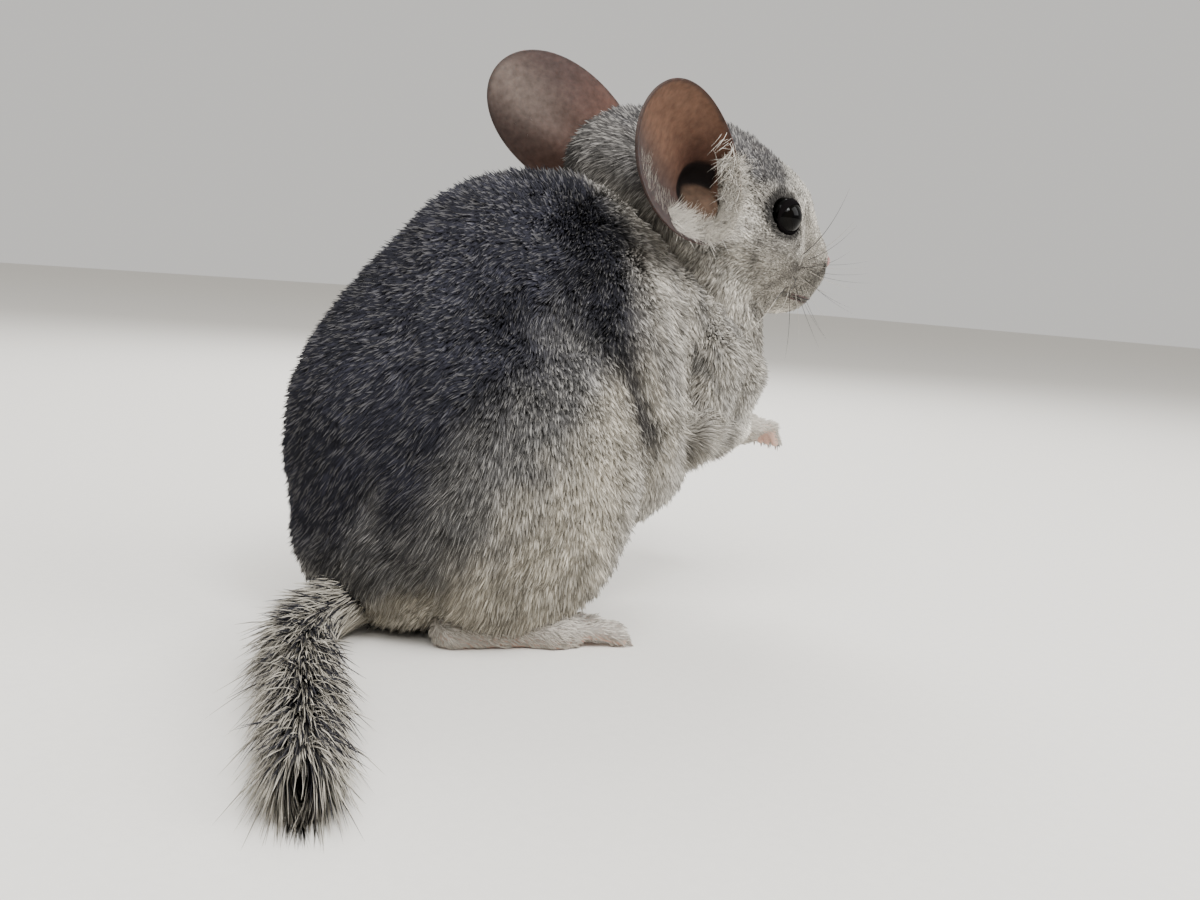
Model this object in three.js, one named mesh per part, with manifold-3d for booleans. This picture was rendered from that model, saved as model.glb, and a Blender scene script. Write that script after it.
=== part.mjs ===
// A grey chinchilla sitting up on its hind feet, life size, in millimetres.
// The nose points to -Y, the animal's left is +X, up is +Z, and it rests on the plane Z = 0.
import * as THREE from "three";
import { mergeVertices } from "three/addons/utils/BufferGeometryUtils.js";
import Module from "manifold-3d";

const wasm = await Module();
wasm.setup();

// Driving dimensions.
const TRUNK = { length: 171, width: 104, height: 140 };
const HEAD = { length: 86, width: 52, height: 58 };
const EAR = { length: 62, width: 37, thickness: 1.2, rootDepth: 13, tipDepth: 5 };
const EYE_RADIUS = 6.2;
const HIND_FOOT_LENGTH = 58;
const HAND_LENGTH = 19;
const TAIL = { length: 122, rootRadius: 12.5, endRadius: 3 };
const GAP = 0.3;

// Directions of the body's own frame: how far forward, to the left and up.
const at = (forward, left, up) => new THREE.Vector3(left, -forward, up);
const UP = at(0, 0, 1);
const degrees = THREE.MathUtils.degToRad;

// The head is turned a little to its right, held nose down and tipped to the right.
const HEAD_CENTRE = at(88, -8, 136);
const HEAD_YAW = degrees(-8);
const HEAD_PITCH = degrees(20);
const HEAD_ROLL = degrees(-12);
const HEAD_TURN = new THREE.Quaternion()
  .setFromAxisAngle(UP, HEAD_YAW)
  .multiply(new THREE.Quaternion().setFromAxisAngle(at(0, 1, 0), HEAD_PITCH))
  .multiply(new THREE.Quaternion().setFromAxisAngle(at(-1, 0, 0), HEAD_ROLL));

const headDirection = (forward, left, up) => at(forward, left, up).applyQuaternion(HEAD_TURN);
const headPoint = (forward, left, up) => headDirection(forward, left, up).add(HEAD_CENTRE);

// Materials.
const finish = (color, roughness) =>
  new THREE.MeshStandardMaterial({ color, roughness, metalness: 0 });
const coatGrey = finish(0x6f6d6c, 0.95);
const tailGrey = finish(0x8b8984, 0.95);
const earSkin = finish(0x8a6a5c, 0.75);
const pawSkin = finish(0xc9b4a6, 0.7);
const eyeBlack = finish(0x0b0a0a, 0.05);

// A rounded mass of flesh and coat: an ellipsoid, seen as the distance of a point from its surface.
function mass(centre, radii, turn = new THREE.Quaternion()) {
  const back = turn.clone().invert();
  const local = new THREE.Vector3();
  return (point) => {
    local.copy(point).sub(centre).applyQuaternion(back);
    const x = local.x / radii.x;
    const y = local.y / radii.y;
    const z = local.z / radii.z;
    const k0 = Math.hypot(x, y, z);
    const k1 = Math.hypot(x / radii.x, y / radii.y, z / radii.z);
    return k1 > 0 ? (k0 * (k0 - 1)) / k1 : -Math.min(radii.x, radii.y, radii.z);
  };
}

// A limb: a cone with round ends from one joint to the next.
function limb(start, startRadius, end, endRadius) {
  const along = end.clone().sub(start);
  const lengthSquared = along.lengthSq();
  const offset = new THREE.Vector3();
  return (point) => {
    offset.copy(point).sub(start);
    const share = THREE.MathUtils.clamp(offset.dot(along) / lengthSquared, 0, 1);
    const radius = THREE.MathUtils.lerp(startRadius, endRadius, share);
    return offset.addScaledVector(along, -share).length() - radius;
  };
}

// Masses run into each other over a blend width, as flesh does.
const blend = (width, ...forms) => (point) =>
  forms.map((form) => form(point)).reduce((a, b) => {
    const overlap = Math.max(width - Math.abs(a - b), 0) / width;
    return Math.min(a, b) - (overlap * overlap * width) / 4;
  });

// A mass of the trunk, in shares of the trunk's length, width and height.
const trunkMass = ([forward, left, up], [long, wide, high]) =>
  mass(
    at(forward * TRUNK.length, left * TRUNK.width, up * TRUNK.height),
    new THREE.Vector3(wide * TRUNK.width, long * TRUNK.length, high * TRUNK.height),
  );

// A mass of the head, in shares of the head's length, width and height.
const headMass = ([forward, left, up], [long, wide, high]) =>
  mass(
    headPoint(forward * HEAD.length, left * HEAD.width, up * HEAD.height),
    new THREE.Vector3(wide * HEAD.width, long * HEAD.length, high * HEAD.height),
    HEAD_TURN,
  );

const trunkForm = blend(
  12,
  trunkMass([-0.029, 0, 0.397], [0.304, 0.475, 0.407]),
  trunkMass([0.117, 0, 0.6], [0.322, 0.43, 0.393]),
  trunkMass([0.433, 0, 0.614], [0.185, 0.31, 0.3]),
  trunkMass([0.386, -0.02, 0.83], [0.185, 0.235, 0.243]),
  trunkMass([0.222, 0, 0.4], [0.22, 0.385, 0.235]),
  trunkMass([-0.15, 0, 0.18], [0.15, 0.35, 0.18]),
);
const haunchForm = (side) => trunkMass([-0.012, side * 0.327, 0.329], [0.234, 0.202, 0.315]);
const bodyForm = blend(7, trunkForm, haunchForm(1), haunchForm(-1));

const faceForm = blend(
  6,
  headMass([-0.093, 0, -0.017], [0.39, 0.45, 0.39]),
  headMass([0.116, 0, 0.017], [0.256, 0.33, 0.3]),
  headMass([0.325, 0, -0.155], [0.2, 0.24, 0.265]),
  headMass([0.07, 0.26, -0.2], [0.25, 0.25, 0.27]),
  headMass([0.07, -0.26, -0.2], [0.25, 0.25, 0.27]),
  headMass([0.34, 0, -0.31], [0.15, 0.19, 0.165]),
);
const napeForm = trunkMass([0.3, -0.035, 0.965], [0.152, 0.215, 0.19]);
const headForm = blend(10, trunkForm, blend(8, napeForm, faceForm));

// A closed skin on a form: each corner of a fine icosahedron is drawn in until it meets the form.
function skinOf(form, centre, reach, detail) {
  const step = 1.5;
  const halvings = 12;
  const round = new THREE.IcosahedronGeometry(1, detail);
  round.deleteAttribute("normal");
  round.deleteAttribute("uv");
  const skin = mergeVertices(round, 1e-5);
  const corners = skin.attributes.position;
  const direction = new THREE.Vector3();
  const point = new THREE.Vector3();
  const isInside = (radius) => form(point.copy(centre).addScaledVector(direction, radius)) < 0;
  for (let i = 0; i < corners.count; i++) {
    direction.fromBufferAttribute(corners, i).normalize();
    let radius = reach;
    while (radius > step && !isInside(radius)) radius -= step;
    let outside = radius + step;
    for (let n = 0; n < halvings; n++) {
      const middle = (radius + outside) / 2;
      if (isInside(middle)) radius = middle;
      else outside = middle;
    }
    point.copy(centre).addScaledVector(direction, radius);
    corners.setXYZ(i, point.x, point.y, point.z);
  }
  return skin;
}

// Solids for joining and cutting.
function solid(geometry) {
  const bare = geometry.clone();
  bare.deleteAttribute("normal");
  bare.deleteAttribute("uv");
  const merged = mergeVertices(bare, 1e-4);
  return new wasm.Manifold(
    new wasm.Mesh({
      numProp: 3,
      vertProperties: new Float32Array(merged.attributes.position.array),
      triVerts: new Uint32Array(merged.index.array),
    }),
  );
}

const join = (solids) => solids.reduce((all, next) => all.add(next));

// The largest closed surface of a mesh, without loose scraps and sealed hollows.
function largestSurface(mesh) {
  const faces = mesh.triVerts;
  const parent = Array.from({ length: faces.length / 3 }, (_, i) => i);
  const rootOf = (i) => {
    while (parent[i] !== i) i = parent[i] = parent[parent[i]];
    return i;
  };
  const faceOfEdge = new Map();
  for (let i = 0; i < faces.length; i++) {
    const face = Math.floor(i / 3);
    const from = faces[i];
    const to = faces[i % 3 === 2 ? i - 2 : i + 1];
    const edge = Math.min(from, to) + "-" + Math.max(from, to);
    if (faceOfEdge.has(edge)) parent[rootOf(face)] = rootOf(faceOfEdge.get(edge));
    else faceOfEdge.set(edge, face);
  }
  const surfaces = new Map();
  const [a, b, c] = [0, 1, 2].map(() => new THREE.Vector3());
  for (let face = 0; face < parent.length; face++) {
    const surface = surfaces.get(rootOf(face)) ?? { faces: [], volume: 0 };
    const corners = faces.slice(face * 3, face * 3 + 3);
    [a, b, c].forEach((corner, n) => corner.fromArray(mesh.vertProperties, corners[n] * 3));
    surface.volume += a.dot(b.cross(c)) / 6;
    surface.faces.push(...corners);
    surfaces.set(rootOf(face), surface);
  }
  return [...surfaces.values()].reduce((best, next) => (next.volume > best.volume ? next : best)).faces;
}

function node(name, whole, material) {
  const mesh = whole.getMesh();
  const geometry = new THREE.BufferGeometry();
  geometry.setAttribute("position", new THREE.BufferAttribute(mesh.vertProperties, 3));
  geometry.setIndex(largestSurface(mesh));
  geometry.computeVertexNormals();
  const made = new THREE.Mesh(geometry, material);
  made.name = name;
  return made;
}

// Half of space: a large block on the side of a plane through a point that the normal shows.
function halfSpace(point, normal) {
  const size = 700;
  const block = new THREE.BoxGeometry(size, size, size);
  block.applyQuaternion(new THREE.Quaternion().setFromUnitVectors(UP, normal));
  const middle = point.clone().addScaledVector(normal, size / 2);
  return solid(block.translate(middle.x, middle.y, middle.z));
}

const floor = halfSpace(at(0, 0, 0), at(0, 0, -1));

// An ellipsoid as a solid.
function ball(centre, radii, detail, turn = new THREE.Quaternion()) {
  const shape = new THREE.IcosahedronGeometry(1, detail).scale(radii.x, radii.y, radii.z);
  return solid(shape.applyQuaternion(turn).translate(centre.x, centre.y, centre.z));
}

// The trunk and the head as whole skins, and the same grown by the gap to cut what meets them.
const TRUNK_CENTRE = at(22, 0, 66);
const TRUNK_REACH = 150;
const HEAD_REACH = 92;
const trunkSkin = solid(skinOf(bodyForm, TRUNK_CENTRE, TRUNK_REACH, 8));
const headSkin = solid(skinOf(headForm, HEAD_CENTRE, HEAD_REACH, 9));
const trunkRoom = solid(skinOf((p) => bodyForm(p) - GAP, TRUNK_CENTRE, TRUNK_REACH, 8));
const headRoom = solid(skinOf((p) => headForm(p) - GAP, HEAD_CENTRE, HEAD_REACH, 9));

// The neck lies between two slanting planes, one at the fold of the nape and one behind the ears.
const NECK_NORMAL = at(0.67, 0, 0.74).normalize();
const NAPE_FOLD = at(31, 0, 139);
const NECK_DEPTH = 14;
const neckPlane = (height) => NAPE_FOLD.clone().addScaledVector(NECK_NORMAL, height);
const above = (height) => halfSpace(neckPlane(height), NECK_NORMAL);
const below = (height) => halfSpace(neckPlane(height), NECK_NORMAL.clone().negate());

// Hind feet: a long sole from the heel to the ball, and toes with small nails.
const SIDES = { left: 1, right: -1 };

// The turn that lays a shape made along Y in a direction.
function turnFromY(direction) {
  const alongY = new THREE.Vector3(0, 1, 0);
  return new THREE.Quaternion().setFromUnitVectors(alongY, direction.clone().normalize());
}

// A chain of round-ended rods through some points, with a radius at each, as a finger or toe.
function digit(points, radii) {
  const parts = [];
  for (let i = 1; i < points.length; i++) {
    const along = points[i].clone().sub(points[i - 1]);
    const radius = (radii[i - 1] + radii[i]) / 2;
    const rod = new THREE.CapsuleGeometry(radius, along.length(), 1, 5);
    const middle = points[i].clone().add(points[i - 1]).multiplyScalar(0.5);
    rod.applyQuaternion(turnFromY(along));
    parts.push(solid(rod.translate(middle.x, middle.y, middle.z)));
  }
  return join(parts);
}

// A closed tube along a curve, its radius given by the share of the curve's length.
function tube(curve, radiusAt, rings, sides) {
  const corners = [];
  const faces = [];
  const add = (place) => corners.push(place.x, place.y, place.z);
  for (let r = 0; r <= rings; r++) {
    const share = r / rings;
    const centre = curve.getPointAt(share);
    const along = curve.getTangentAt(share);
    const sideways = new THREE.Vector3().crossVectors(UP, along).normalize();
    const upwards = new THREE.Vector3().crossVectors(along, sideways);
    for (let n = 0; n < sides; n++) {
      const angle = (n / sides) * 2 * Math.PI;
      const rim = sideways.clone().multiplyScalar(Math.cos(angle)).addScaledVector(upwards, Math.sin(angle));
      add(centre.clone().addScaledVector(rim, radiusAt(share)));
    }
  }
  const first = corners.length / 3;
  add(curve.getPointAt(0));
  add(curve.getPointAt(1));
  const corner = (r, n) => r * sides + (n % sides);
  for (let n = 0; n < sides; n++) {
    for (let r = 0; r < rings; r++) {
      faces.push(corner(r, n), corner(r, n + 1), corner(r + 1, n + 1));
      faces.push(corner(r, n), corner(r + 1, n + 1), corner(r + 1, n));
    }
    faces.push(first, corner(0, n + 1), corner(0, n));
    faces.push(first + 1, corner(rings, n), corner(rings, n + 1));
  }
  const geometry = new THREE.BufferGeometry();
  geometry.setAttribute("position", new THREE.Float32BufferAttribute(corners, 3));
  geometry.setIndex(faces);
  return solid(geometry);
}

function nail(base, direction, length, radius) {
  const cone = new THREE.ConeGeometry(radius, length, 5).translate(0, length / 2, 0);
  cone.applyQuaternion(turnFromY(direction));
  return solid(cone.translate(base.x, base.y, base.z));
}

const HEEL = { forward: -24, out: 29, toeOut: 37 };
const TOES = [
  { spread: -0.3, length: 15, radius: 2.6 },
  { spread: -0.02, length: 18, radius: 2.8 },
  { spread: 0.26, length: 15.5, radius: 2.6 },
];

function hindFoot(side, growth) {
  const ballOfFoot = HEEL.forward + HIND_FOOT_LENGTH - 18;
  const outAt = (forward) =>
    side * THREE.MathUtils.mapLinear(forward, HEEL.forward, ballOfFoot, HEEL.out, HEEL.toeOut);
  const soleForm = blend(
    5,
    limb(at(HEEL.forward + 6, outAt(HEEL.forward), 5), 6, at(ballOfFoot - 8, outAt(ballOfFoot), 4.5), 5),
    mass(at(ballOfFoot - 4, outAt(ballOfFoot - 4), 3), new THREE.Vector3(8, 9, 5.5)),
  );
  const middle = at((HEEL.forward + ballOfFoot) / 2, outAt(10), 4);
  const parts = [solid(skinOf((p) => soleForm(p) - growth, middle, 40, 4))];
  for (const toe of TOES) {
    const direction = at(Math.cos(toe.spread), side * Math.sin(toe.spread + 0.15), 0).normalize();
    const root = at(ballOfFoot - 2, outAt(ballOfFoot) + side * toe.spread * 14, 3.4);
    const knuckle = root.clone().addScaledVector(direction, toe.length * 0.55).addScaledVector(UP, 1);
    const tip = root.clone().addScaledVector(direction, toe.length).addScaledVector(UP, -1);
    const radius = toe.radius + growth;
    parts.push(digit([root, knuckle, tip], [radius, radius, radius * 0.85]));
    parts.push(nail(tip, direction, 5, 1.2 + growth));
  }
  return join(parts).subtract(floor);
}

// Forelegs: the elbow is buried in the coat of the chest, and the hand is held up before it.
function foreleg(side, growth) {
  const elbow = at(64, side * 27, 60);
  const shoulder = at(70, side * 24, 84);
  const wrist = at(93, side * 13, 60);
  const form = blend(6, limb(shoulder, 13, elbow, 10), limb(elbow, 9.5, wrist, 4.5));
  const middle = at(68, side * 25, 67);
  return solid(skinOf((p) => form(p) - growth, middle, 50, 4));
}

function hand(side) {
  const wrist = at(95, side * 12.5, 60);
  const palm = at(99, side * 11.5, 60);
  const parts = [
    ball(palm, new THREE.Vector3(5.2, 7, 4.2), 1),
    digit([wrist, palm], [4, 4]),
  ];
  const fingers = 4;
  for (let i = 0; i < fingers; i++) {
    const spread = (i - (fingers - 1) / 2) / (fingers - 1);
    const root = palm.clone().add(at(4, spread * 7, 0));
    const knuckle = root.clone().add(at(HAND_LENGTH * 0.22, spread * 2.5, 0.4));
    const tip = knuckle.clone().add(at(HAND_LENGTH * 0.12, spread * 1.5 - side * 0.5, -HAND_LENGTH * 0.26));
    parts.push(digit([root, knuckle, tip], [1.9, 1.8, 1.4]));
    parts.push(nail(tip, at(0.5, 0, -0.9), 3, 0.8));
  }
  return join(parts);
}

// An ear: a thin oval bowl, deeper near its root, its hollow turned outwards.
const EARS = {
  left: { root: [-21.5, 22.5, -12], axis: [-0.937, 0.255, 0.241], hollow: [0.28, 0.96, 0.05] },
  right: { root: [-12.5, -32.5, -10], axis: [-0.88, -0.38, 0.286], hollow: [0.44, -0.88, 0.18] },
};

function ear(name) {
  const rings = 5;
  const spokes = 24;
  const pinch = 0.1;
  const root = headPoint(...EARS[name].root);
  const axis = headDirection(...EARS[name].axis).normalize();
  const hollow = headDirection(...EARS[name].hollow);
  hollow.addScaledVector(axis, -hollow.dot(axis)).normalize();
  const across = new THREE.Vector3().crossVectors(axis, hollow);
  const corners = [];
  const faces = [];
  const addCorner = (share, angle, lift) => {
    const height = (EAR.length / 2) * (1 + share * Math.sin(angle));
    const width = (EAR.width / 2) * share * Math.cos(angle) * (1 + pinch * Math.sin(angle));
    const bowl = THREE.MathUtils.mapLinear(height, 0, EAR.length, EAR.rootDepth, EAR.tipDepth);
    const place = root.clone().addScaledVector(axis, height).addScaledVector(across, width);
    place.addScaledVector(hollow, lift - bowl * (1 - share ** 2.5));
    corners.push(place.x, place.y, place.z);
  };
  const addSheet = (lift, rim) => {
    const first = corners.length / 3;
    addCorner(0, 0, lift);
    for (let r = 1; r <= rings; r++) {
      const share = r === rings ? rim : r / rings;
      for (let n = 0; n < spokes; n++) addCorner(share, (n / spokes) * 2 * Math.PI, lift);
    }
    return first;
  };
  const front = addSheet(EAR.thickness / 2, 0.98);
  const back = addSheet(-EAR.thickness / 2, 1);
  const corner = (sheet, r, n) => (r === 0 ? sheet : sheet + 1 + (r - 1) * spokes + (n % spokes));
  for (let n = 0; n < spokes; n++) {
    faces.push(corner(front, 0, n), corner(front, 1, n), corner(front, 1, n + 1));
    faces.push(corner(back, 0, n), corner(back, 1, n + 1), corner(back, 1, n));
    for (let r = 1; r < rings; r++) {
      faces.push(corner(front, r, n), corner(front, r + 1, n), corner(front, r + 1, n + 1));
      faces.push(corner(front, r, n), corner(front, r + 1, n + 1), corner(front, r, n + 1));
      faces.push(corner(back, r, n), corner(back, r + 1, n + 1), corner(back, r + 1, n));
      faces.push(corner(back, r, n), corner(back, r, n + 1), corner(back, r + 1, n + 1));
    }
    faces.push(corner(front, rings, n), corner(back, rings, n), corner(back, rings, n + 1));
    faces.push(corner(front, rings, n), corner(back, rings, n + 1), corner(front, rings, n + 1));
  }
  const geometry = new THREE.BufferGeometry();
  geometry.setAttribute("position", new THREE.Float32BufferAttribute(corners, 3));
  geometry.setIndex(faces);
  return solid(geometry);
}

// Eyes: a dark ball in its socket, with a lid all round.
const EYE = { forward: 10.5, out: 17.4, up: 1.8 };
const eyeCentre = (side) => headPoint(EYE.forward, side * EYE.out, EYE.up);
const eyeDirection = (side) => headDirection(0.35, side * 0.9, 0.22).normalize();

function eyelid(side) {
  const ring = new THREE.TorusGeometry(EYE_RADIUS * 0.9, 1.1, 5, 18);
  ring.scale(1, 0.92, 1);
  ring.applyQuaternion(new THREE.Quaternion().setFromUnitVectors(UP, eyeDirection(side)));
  const middle = eyeCentre(side).addScaledVector(eyeDirection(side), EYE_RADIUS * 0.36);
  return solid(ring.translate(middle.x, middle.y, middle.z));
}

// Where a ray from a point inside a form leaves it.
function surfacePoint(form, origin, direction) {
  const step = 0.1;
  const place = origin.clone();
  while (form(place) < 0) place.addScaledVector(direction, step);
  return place;
}

// The mouth: a line round the front of the muzzle between two soft lips, parted in the middle below the nose.
const MOUTH = { forward: 26, up: -17.5, halfAngle: degrees(66), lipRadius: 1, lineRadius: 0.45 };

function mouthCurve(rise, inset) {
  const points = [];
  const steps = 10;
  const origin = headPoint(MOUTH.forward, 0, MOUTH.up + rise);
  for (let i = 0; i <= steps; i++) {
    const angle = THREE.MathUtils.lerp(-MOUTH.halfAngle, MOUTH.halfAngle, i / steps);
    const sag = 1.6 * (Math.abs(angle) / MOUTH.halfAngle) ** 2;
    const direction = headDirection(Math.cos(angle), Math.sin(angle), -sag / 12).normalize();
    points.push(surfacePoint(headForm, origin, direction).addScaledVector(direction, -inset));
  }
  return new THREE.CatmullRomCurve3(points);
}
const lips = [1.15, -1.15].map((rise) => tube(mouthCurve(rise, 0.5), () => MOUTH.lipRadius, 10, 5));
const mouthLine = tube(mouthCurve(0, 0.1), () => MOUTH.lineRadius, 10, 4);

// The nose: a small bare pad with a slanting slit for each nostril and a groove below it.
const NOSE_TIP = surfacePoint(headForm, headPoint(20, 0, -3), headDirection(1, 0, 0));
const nosePoint = (forward, left, up) => headDirection(forward, left, up).add(NOSE_TIP);
const nosePad = ball(nosePoint(-1, 0, 0), new THREE.Vector3(3.2, 2, 2.3), 2, HEAD_TURN);
const philtrum = tube(
  new THREE.CatmullRomCurve3([nosePoint(1, 0, -1), nosePoint(0.4, 0, -6), nosePoint(-0.8, 0, -13)]),
  () => 0.6,
  4,
  5,
);
const nostril = (side) => {
  const slant = new THREE.Quaternion().setFromAxisAngle(at(1, 0, 0), side * degrees(35));
  const turn = HEAD_TURN.clone().multiply(slant);
  return ball(nosePoint(0.6, side * 1.7, -0.3), new THREE.Vector3(1, 1.4, 0.55), 1, turn);
};

// The tail lies on the floor: it leaves the rump straight back and soon bends to the right.
const TAIL_ROOT = at(-30, 0, TAIL.rootRadius + 2);
const TAIL_HEADING = { start: degrees(30), end: degrees(68) };
const tailRadius = (share) => THREE.MathUtils.lerp(TAIL.rootRadius, TAIL.endRadius, share ** 0.55);

function tailPath() {
  const steps = 14;
  const points = [];
  const place = TAIL_ROOT.clone();
  for (let i = 0; i <= steps; i++) {
    const share = i / steps;
    const bend = THREE.MathUtils.smoothstep(share, 0, 0.5);
    const heading = THREE.MathUtils.lerp(TAIL_HEADING.start, TAIL_HEADING.end, bend);
    points.push(place.clone().setZ(tailRadius(share) - 0.6));
    place.add(at(-Math.cos(heading), -Math.sin(heading), 0).multiplyScalar(TAIL.length / steps));
  }
  return new THREE.CatmullRomCurve3(points);
}
const tailCurve = tailPath();

// Repeatable random numbers, so that no two locks are alike.
let seed = 7;
function random(low, high) {
  seed = (seed * 16807) % 2147483647;
  return THREE.MathUtils.lerp(low, high, seed / 2147483647);
}

// A lock of long hair: flat, widest near its root, bending back along its lie and tapering to a point.
function lock(root, direction, outward, length, width, thickness) {
  const stations = [0, 0.3, 0.72];
  const fullness = [0.65, 1, 0.55];
  const curl = 0.13;
  const across = new THREE.Vector3().crossVectors(outward, direction).normalize();
  const flat = new THREE.Vector3().crossVectors(direction, across).normalize();
  const placeAt = (share) =>
    root
      .clone()
      .addScaledVector(direction, length * share)
      .addScaledVector(flat, -length * curl * share * share);
  const corners = [];
  const faces = [];
  const add = (place) => corners.push(place.x, place.y, place.z);
  stations.forEach((share, i) => {
    const middle = placeAt(share);
    add(middle.clone().addScaledVector(across, (fullness[i] * width) / 2));
    add(middle.clone().addScaledVector(flat, (fullness[i] * thickness) / 2));
    add(middle.clone().addScaledVector(across, (-fullness[i] * width) / 2));
    add(middle.clone().addScaledVector(flat, (-fullness[i] * thickness) / 2));
  });
  const tip = stations.length * 4;
  add(placeAt(1));
  const corner = (i, n) => i * 4 + (n % 4);
  faces.push(0, 2, 1, 0, 3, 2);
  for (let n = 0; n < 4; n++) {
    for (let i = 1; i < stations.length; i++) {
      faces.push(corner(i - 1, n), corner(i - 1, n + 1), corner(i, n + 1));
      faces.push(corner(i - 1, n), corner(i, n + 1), corner(i, n));
    }
    faces.push(corner(stations.length - 1, n), corner(stations.length - 1, n + 1), tip);
  }
  const geometry = new THREE.BufferGeometry();
  geometry.setAttribute("position", new THREE.Float32BufferAttribute(corners, 3));
  geometry.setIndex(faces);
  return solid(geometry);
}

// Rings of locks stand on the core of the tail, all round it but for the side that it lies on.
const LOCKS = { rings: 8, perRing: 6, first: 0.12, last: 0.93, span: degrees(212), width: 9, thickness: 2.4 };

function tailLocks() {
  const locks = [];
  for (let r = 0; r < LOCKS.rings; r++) {
    const share = THREE.MathUtils.lerp(LOCKS.first, LOCKS.last, r / (LOCKS.rings - 1));
    const count = LOCKS.perRing - (r % 2) - (share > 0.8 ? 1 : 0);
    const along = tailCurve.getTangentAt(share);
    const sideways = new THREE.Vector3().crossVectors(UP, along).normalize();
    for (let n = 0; n < count; n++) {
      const turn = (n / (count - 1) - 0.5) * LOCKS.span + random(-0.1, 0.1);
      const outward = UP.clone().multiplyScalar(Math.cos(turn)).addScaledVector(sideways, Math.sin(turn));
      const rise = degrees(THREE.MathUtils.lerp(20, 27, Math.cos(turn) ** 2) + random(-3, 3));
      const direction = along.clone().multiplyScalar(Math.cos(rise)).addScaledVector(outward, Math.sin(rise));
      const growing = THREE.MathUtils.smoothstep(share, 0, 0.5);
      const length = THREE.MathUtils.lerp(24, 38, growing) * random(0.88, 1.08);
      const root = tailCurve.getPointAt(share).addScaledVector(outward, tailRadius(share) * 0.72);
      const narrowing = THREE.MathUtils.lerp(1, 0.75, share);
      locks.push(lock(root, direction, outward, length, LOCKS.width * narrowing, LOCKS.thickness));
    }
  }
  return locks;
}
const brush = join([tube(tailCurve, tailRadius, 14, 10), ...tailLocks()]);

// The named pieces.
const chinchilla = new THREE.Group();
const feet = {};
const feetRoom = {};
for (const [name, side] of Object.entries(SIDES)) {
  feet[name] = hindFoot(side, 0);
  feetRoom[name] = hindFoot(side, GAP);
}
const resting = trunkSkin.subtract(floor).subtract(above(0));
const standing = resting.subtract(feetRoom.left).subtract(feetRoom.right);

// The haunches are parted from the trunk along a rounded surface a little larger than the thigh.
const haunchCutter = (side, growth) =>
  ball(
    at(-4, side * (38 + 20), 46),
    new THREE.Vector3(38 + growth, 50 + growth, 52 + growth),
    4,
  );
let torso = standing;
for (const [name, side] of Object.entries(SIDES)) {
  const haunch = standing.intersect(haunchCutter(side, 0));
  torso = torso.subtract(haunchCutter(side, GAP));
  chinchilla.add(node("haunch_" + name, haunch, coatGrey));
  chinchilla.add(node("hind_foot_" + name, feet[name], pawSkin));
}

const eyes = {};
let head = join([headSkin.subtract(below(NECK_DEPTH)), nosePad, ...lips]);
head = head.subtract(mouthLine).subtract(philtrum);
for (const [name, side] of Object.entries(SIDES)) {
  const centre = eyeCentre(side);
  const radii = new THREE.Vector3(1, 1, 1);
  const socket = ball(centre, radii.clone().multiplyScalar(EYE_RADIUS + GAP), 3);
  head = head.subtract(nostril(side)).add(eyelid(side)).subtract(socket);
  chinchilla.add(node("eye_" + name, ball(centre, radii.multiplyScalar(EYE_RADIUS), 3), eyeBlack));
  chinchilla.add(node("ear_" + name, ear(name).subtract(headRoom), earSkin));
  chinchilla.add(node("foreleg_" + name, foreleg(side, 0).subtract(trunkRoom).subtract(headRoom), coatGrey));
  chinchilla.add(node("hand_" + name, hand(side).subtract(foreleg(side, GAP)).subtract(trunkRoom), pawSkin));
}
chinchilla.add(node("torso", torso, coatGrey));
chinchilla.add(node("neck", headSkin.subtract(below(GAP)).subtract(above(NECK_DEPTH - GAP)), coatGrey));
chinchilla.add(node("head", head, coatGrey));

// The tail is parted into three lengths along its locks: each length grows out of a funnel in the one before.
const TAIL_CUTS = [0.36, 0.66];
const FUNNEL = { slope: Math.tan(degrees(15)), length: 85 };

function funnel(share, gap) {
  const start = tailCurve.getPointAt(share + gap / TAIL.length);
  const end = tailCurve.getPointAt(1);
  const rest = FUNNEL.length - TAIL.length * (1 - share);
  const beyondEnd = end.clone().addScaledVector(tailCurve.getTangentAt(1), rest);
  const middle = tailCurve.getPointAt((1 + share) / 2);
  const path = new THREE.CatmullRomCurve3([start, middle, end, beyondEnd]);
  const mouth = tailRadius(share) + 0.6 - gap;
  return tube(path, (along) => mouth + along * FUNNEL.length * FUNNEL.slope, 6, 14);
}
const tail = brush.subtract(floor).subtract(trunkRoom);
const [rootCut, endCut] = TAIL_CUTS;
const middlePiece = tail.intersect(funnel(rootCut, GAP)).subtract(funnel(endCut, 0));
chinchilla.add(node("tail_root", tail.subtract(funnel(rootCut, 0)), tailGrey));
chinchilla.add(node("tail_middle", middlePiece, tailGrey));
chinchilla.add(node("tail_end", tail.intersect(funnel(endCut, GAP)), tailGrey));

export default chinchilla;
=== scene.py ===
"""A grey chinchilla sitting up on its hind feet, life size: its skin, coat, eyes, ears, paws and tail.

The nose points to -Y, the animal's left is +X, up is +Z, and it rests on Z = 0.
Sizes and places are in millimetres, and each mesh is turned to metres as it is made.
"""

import itertools
import logging
import math
from dataclasses import dataclass
from enum import Enum
from typing import Any, Protocol

import bpy
import numpy as np
from mathutils import Matrix, Vector


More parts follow.
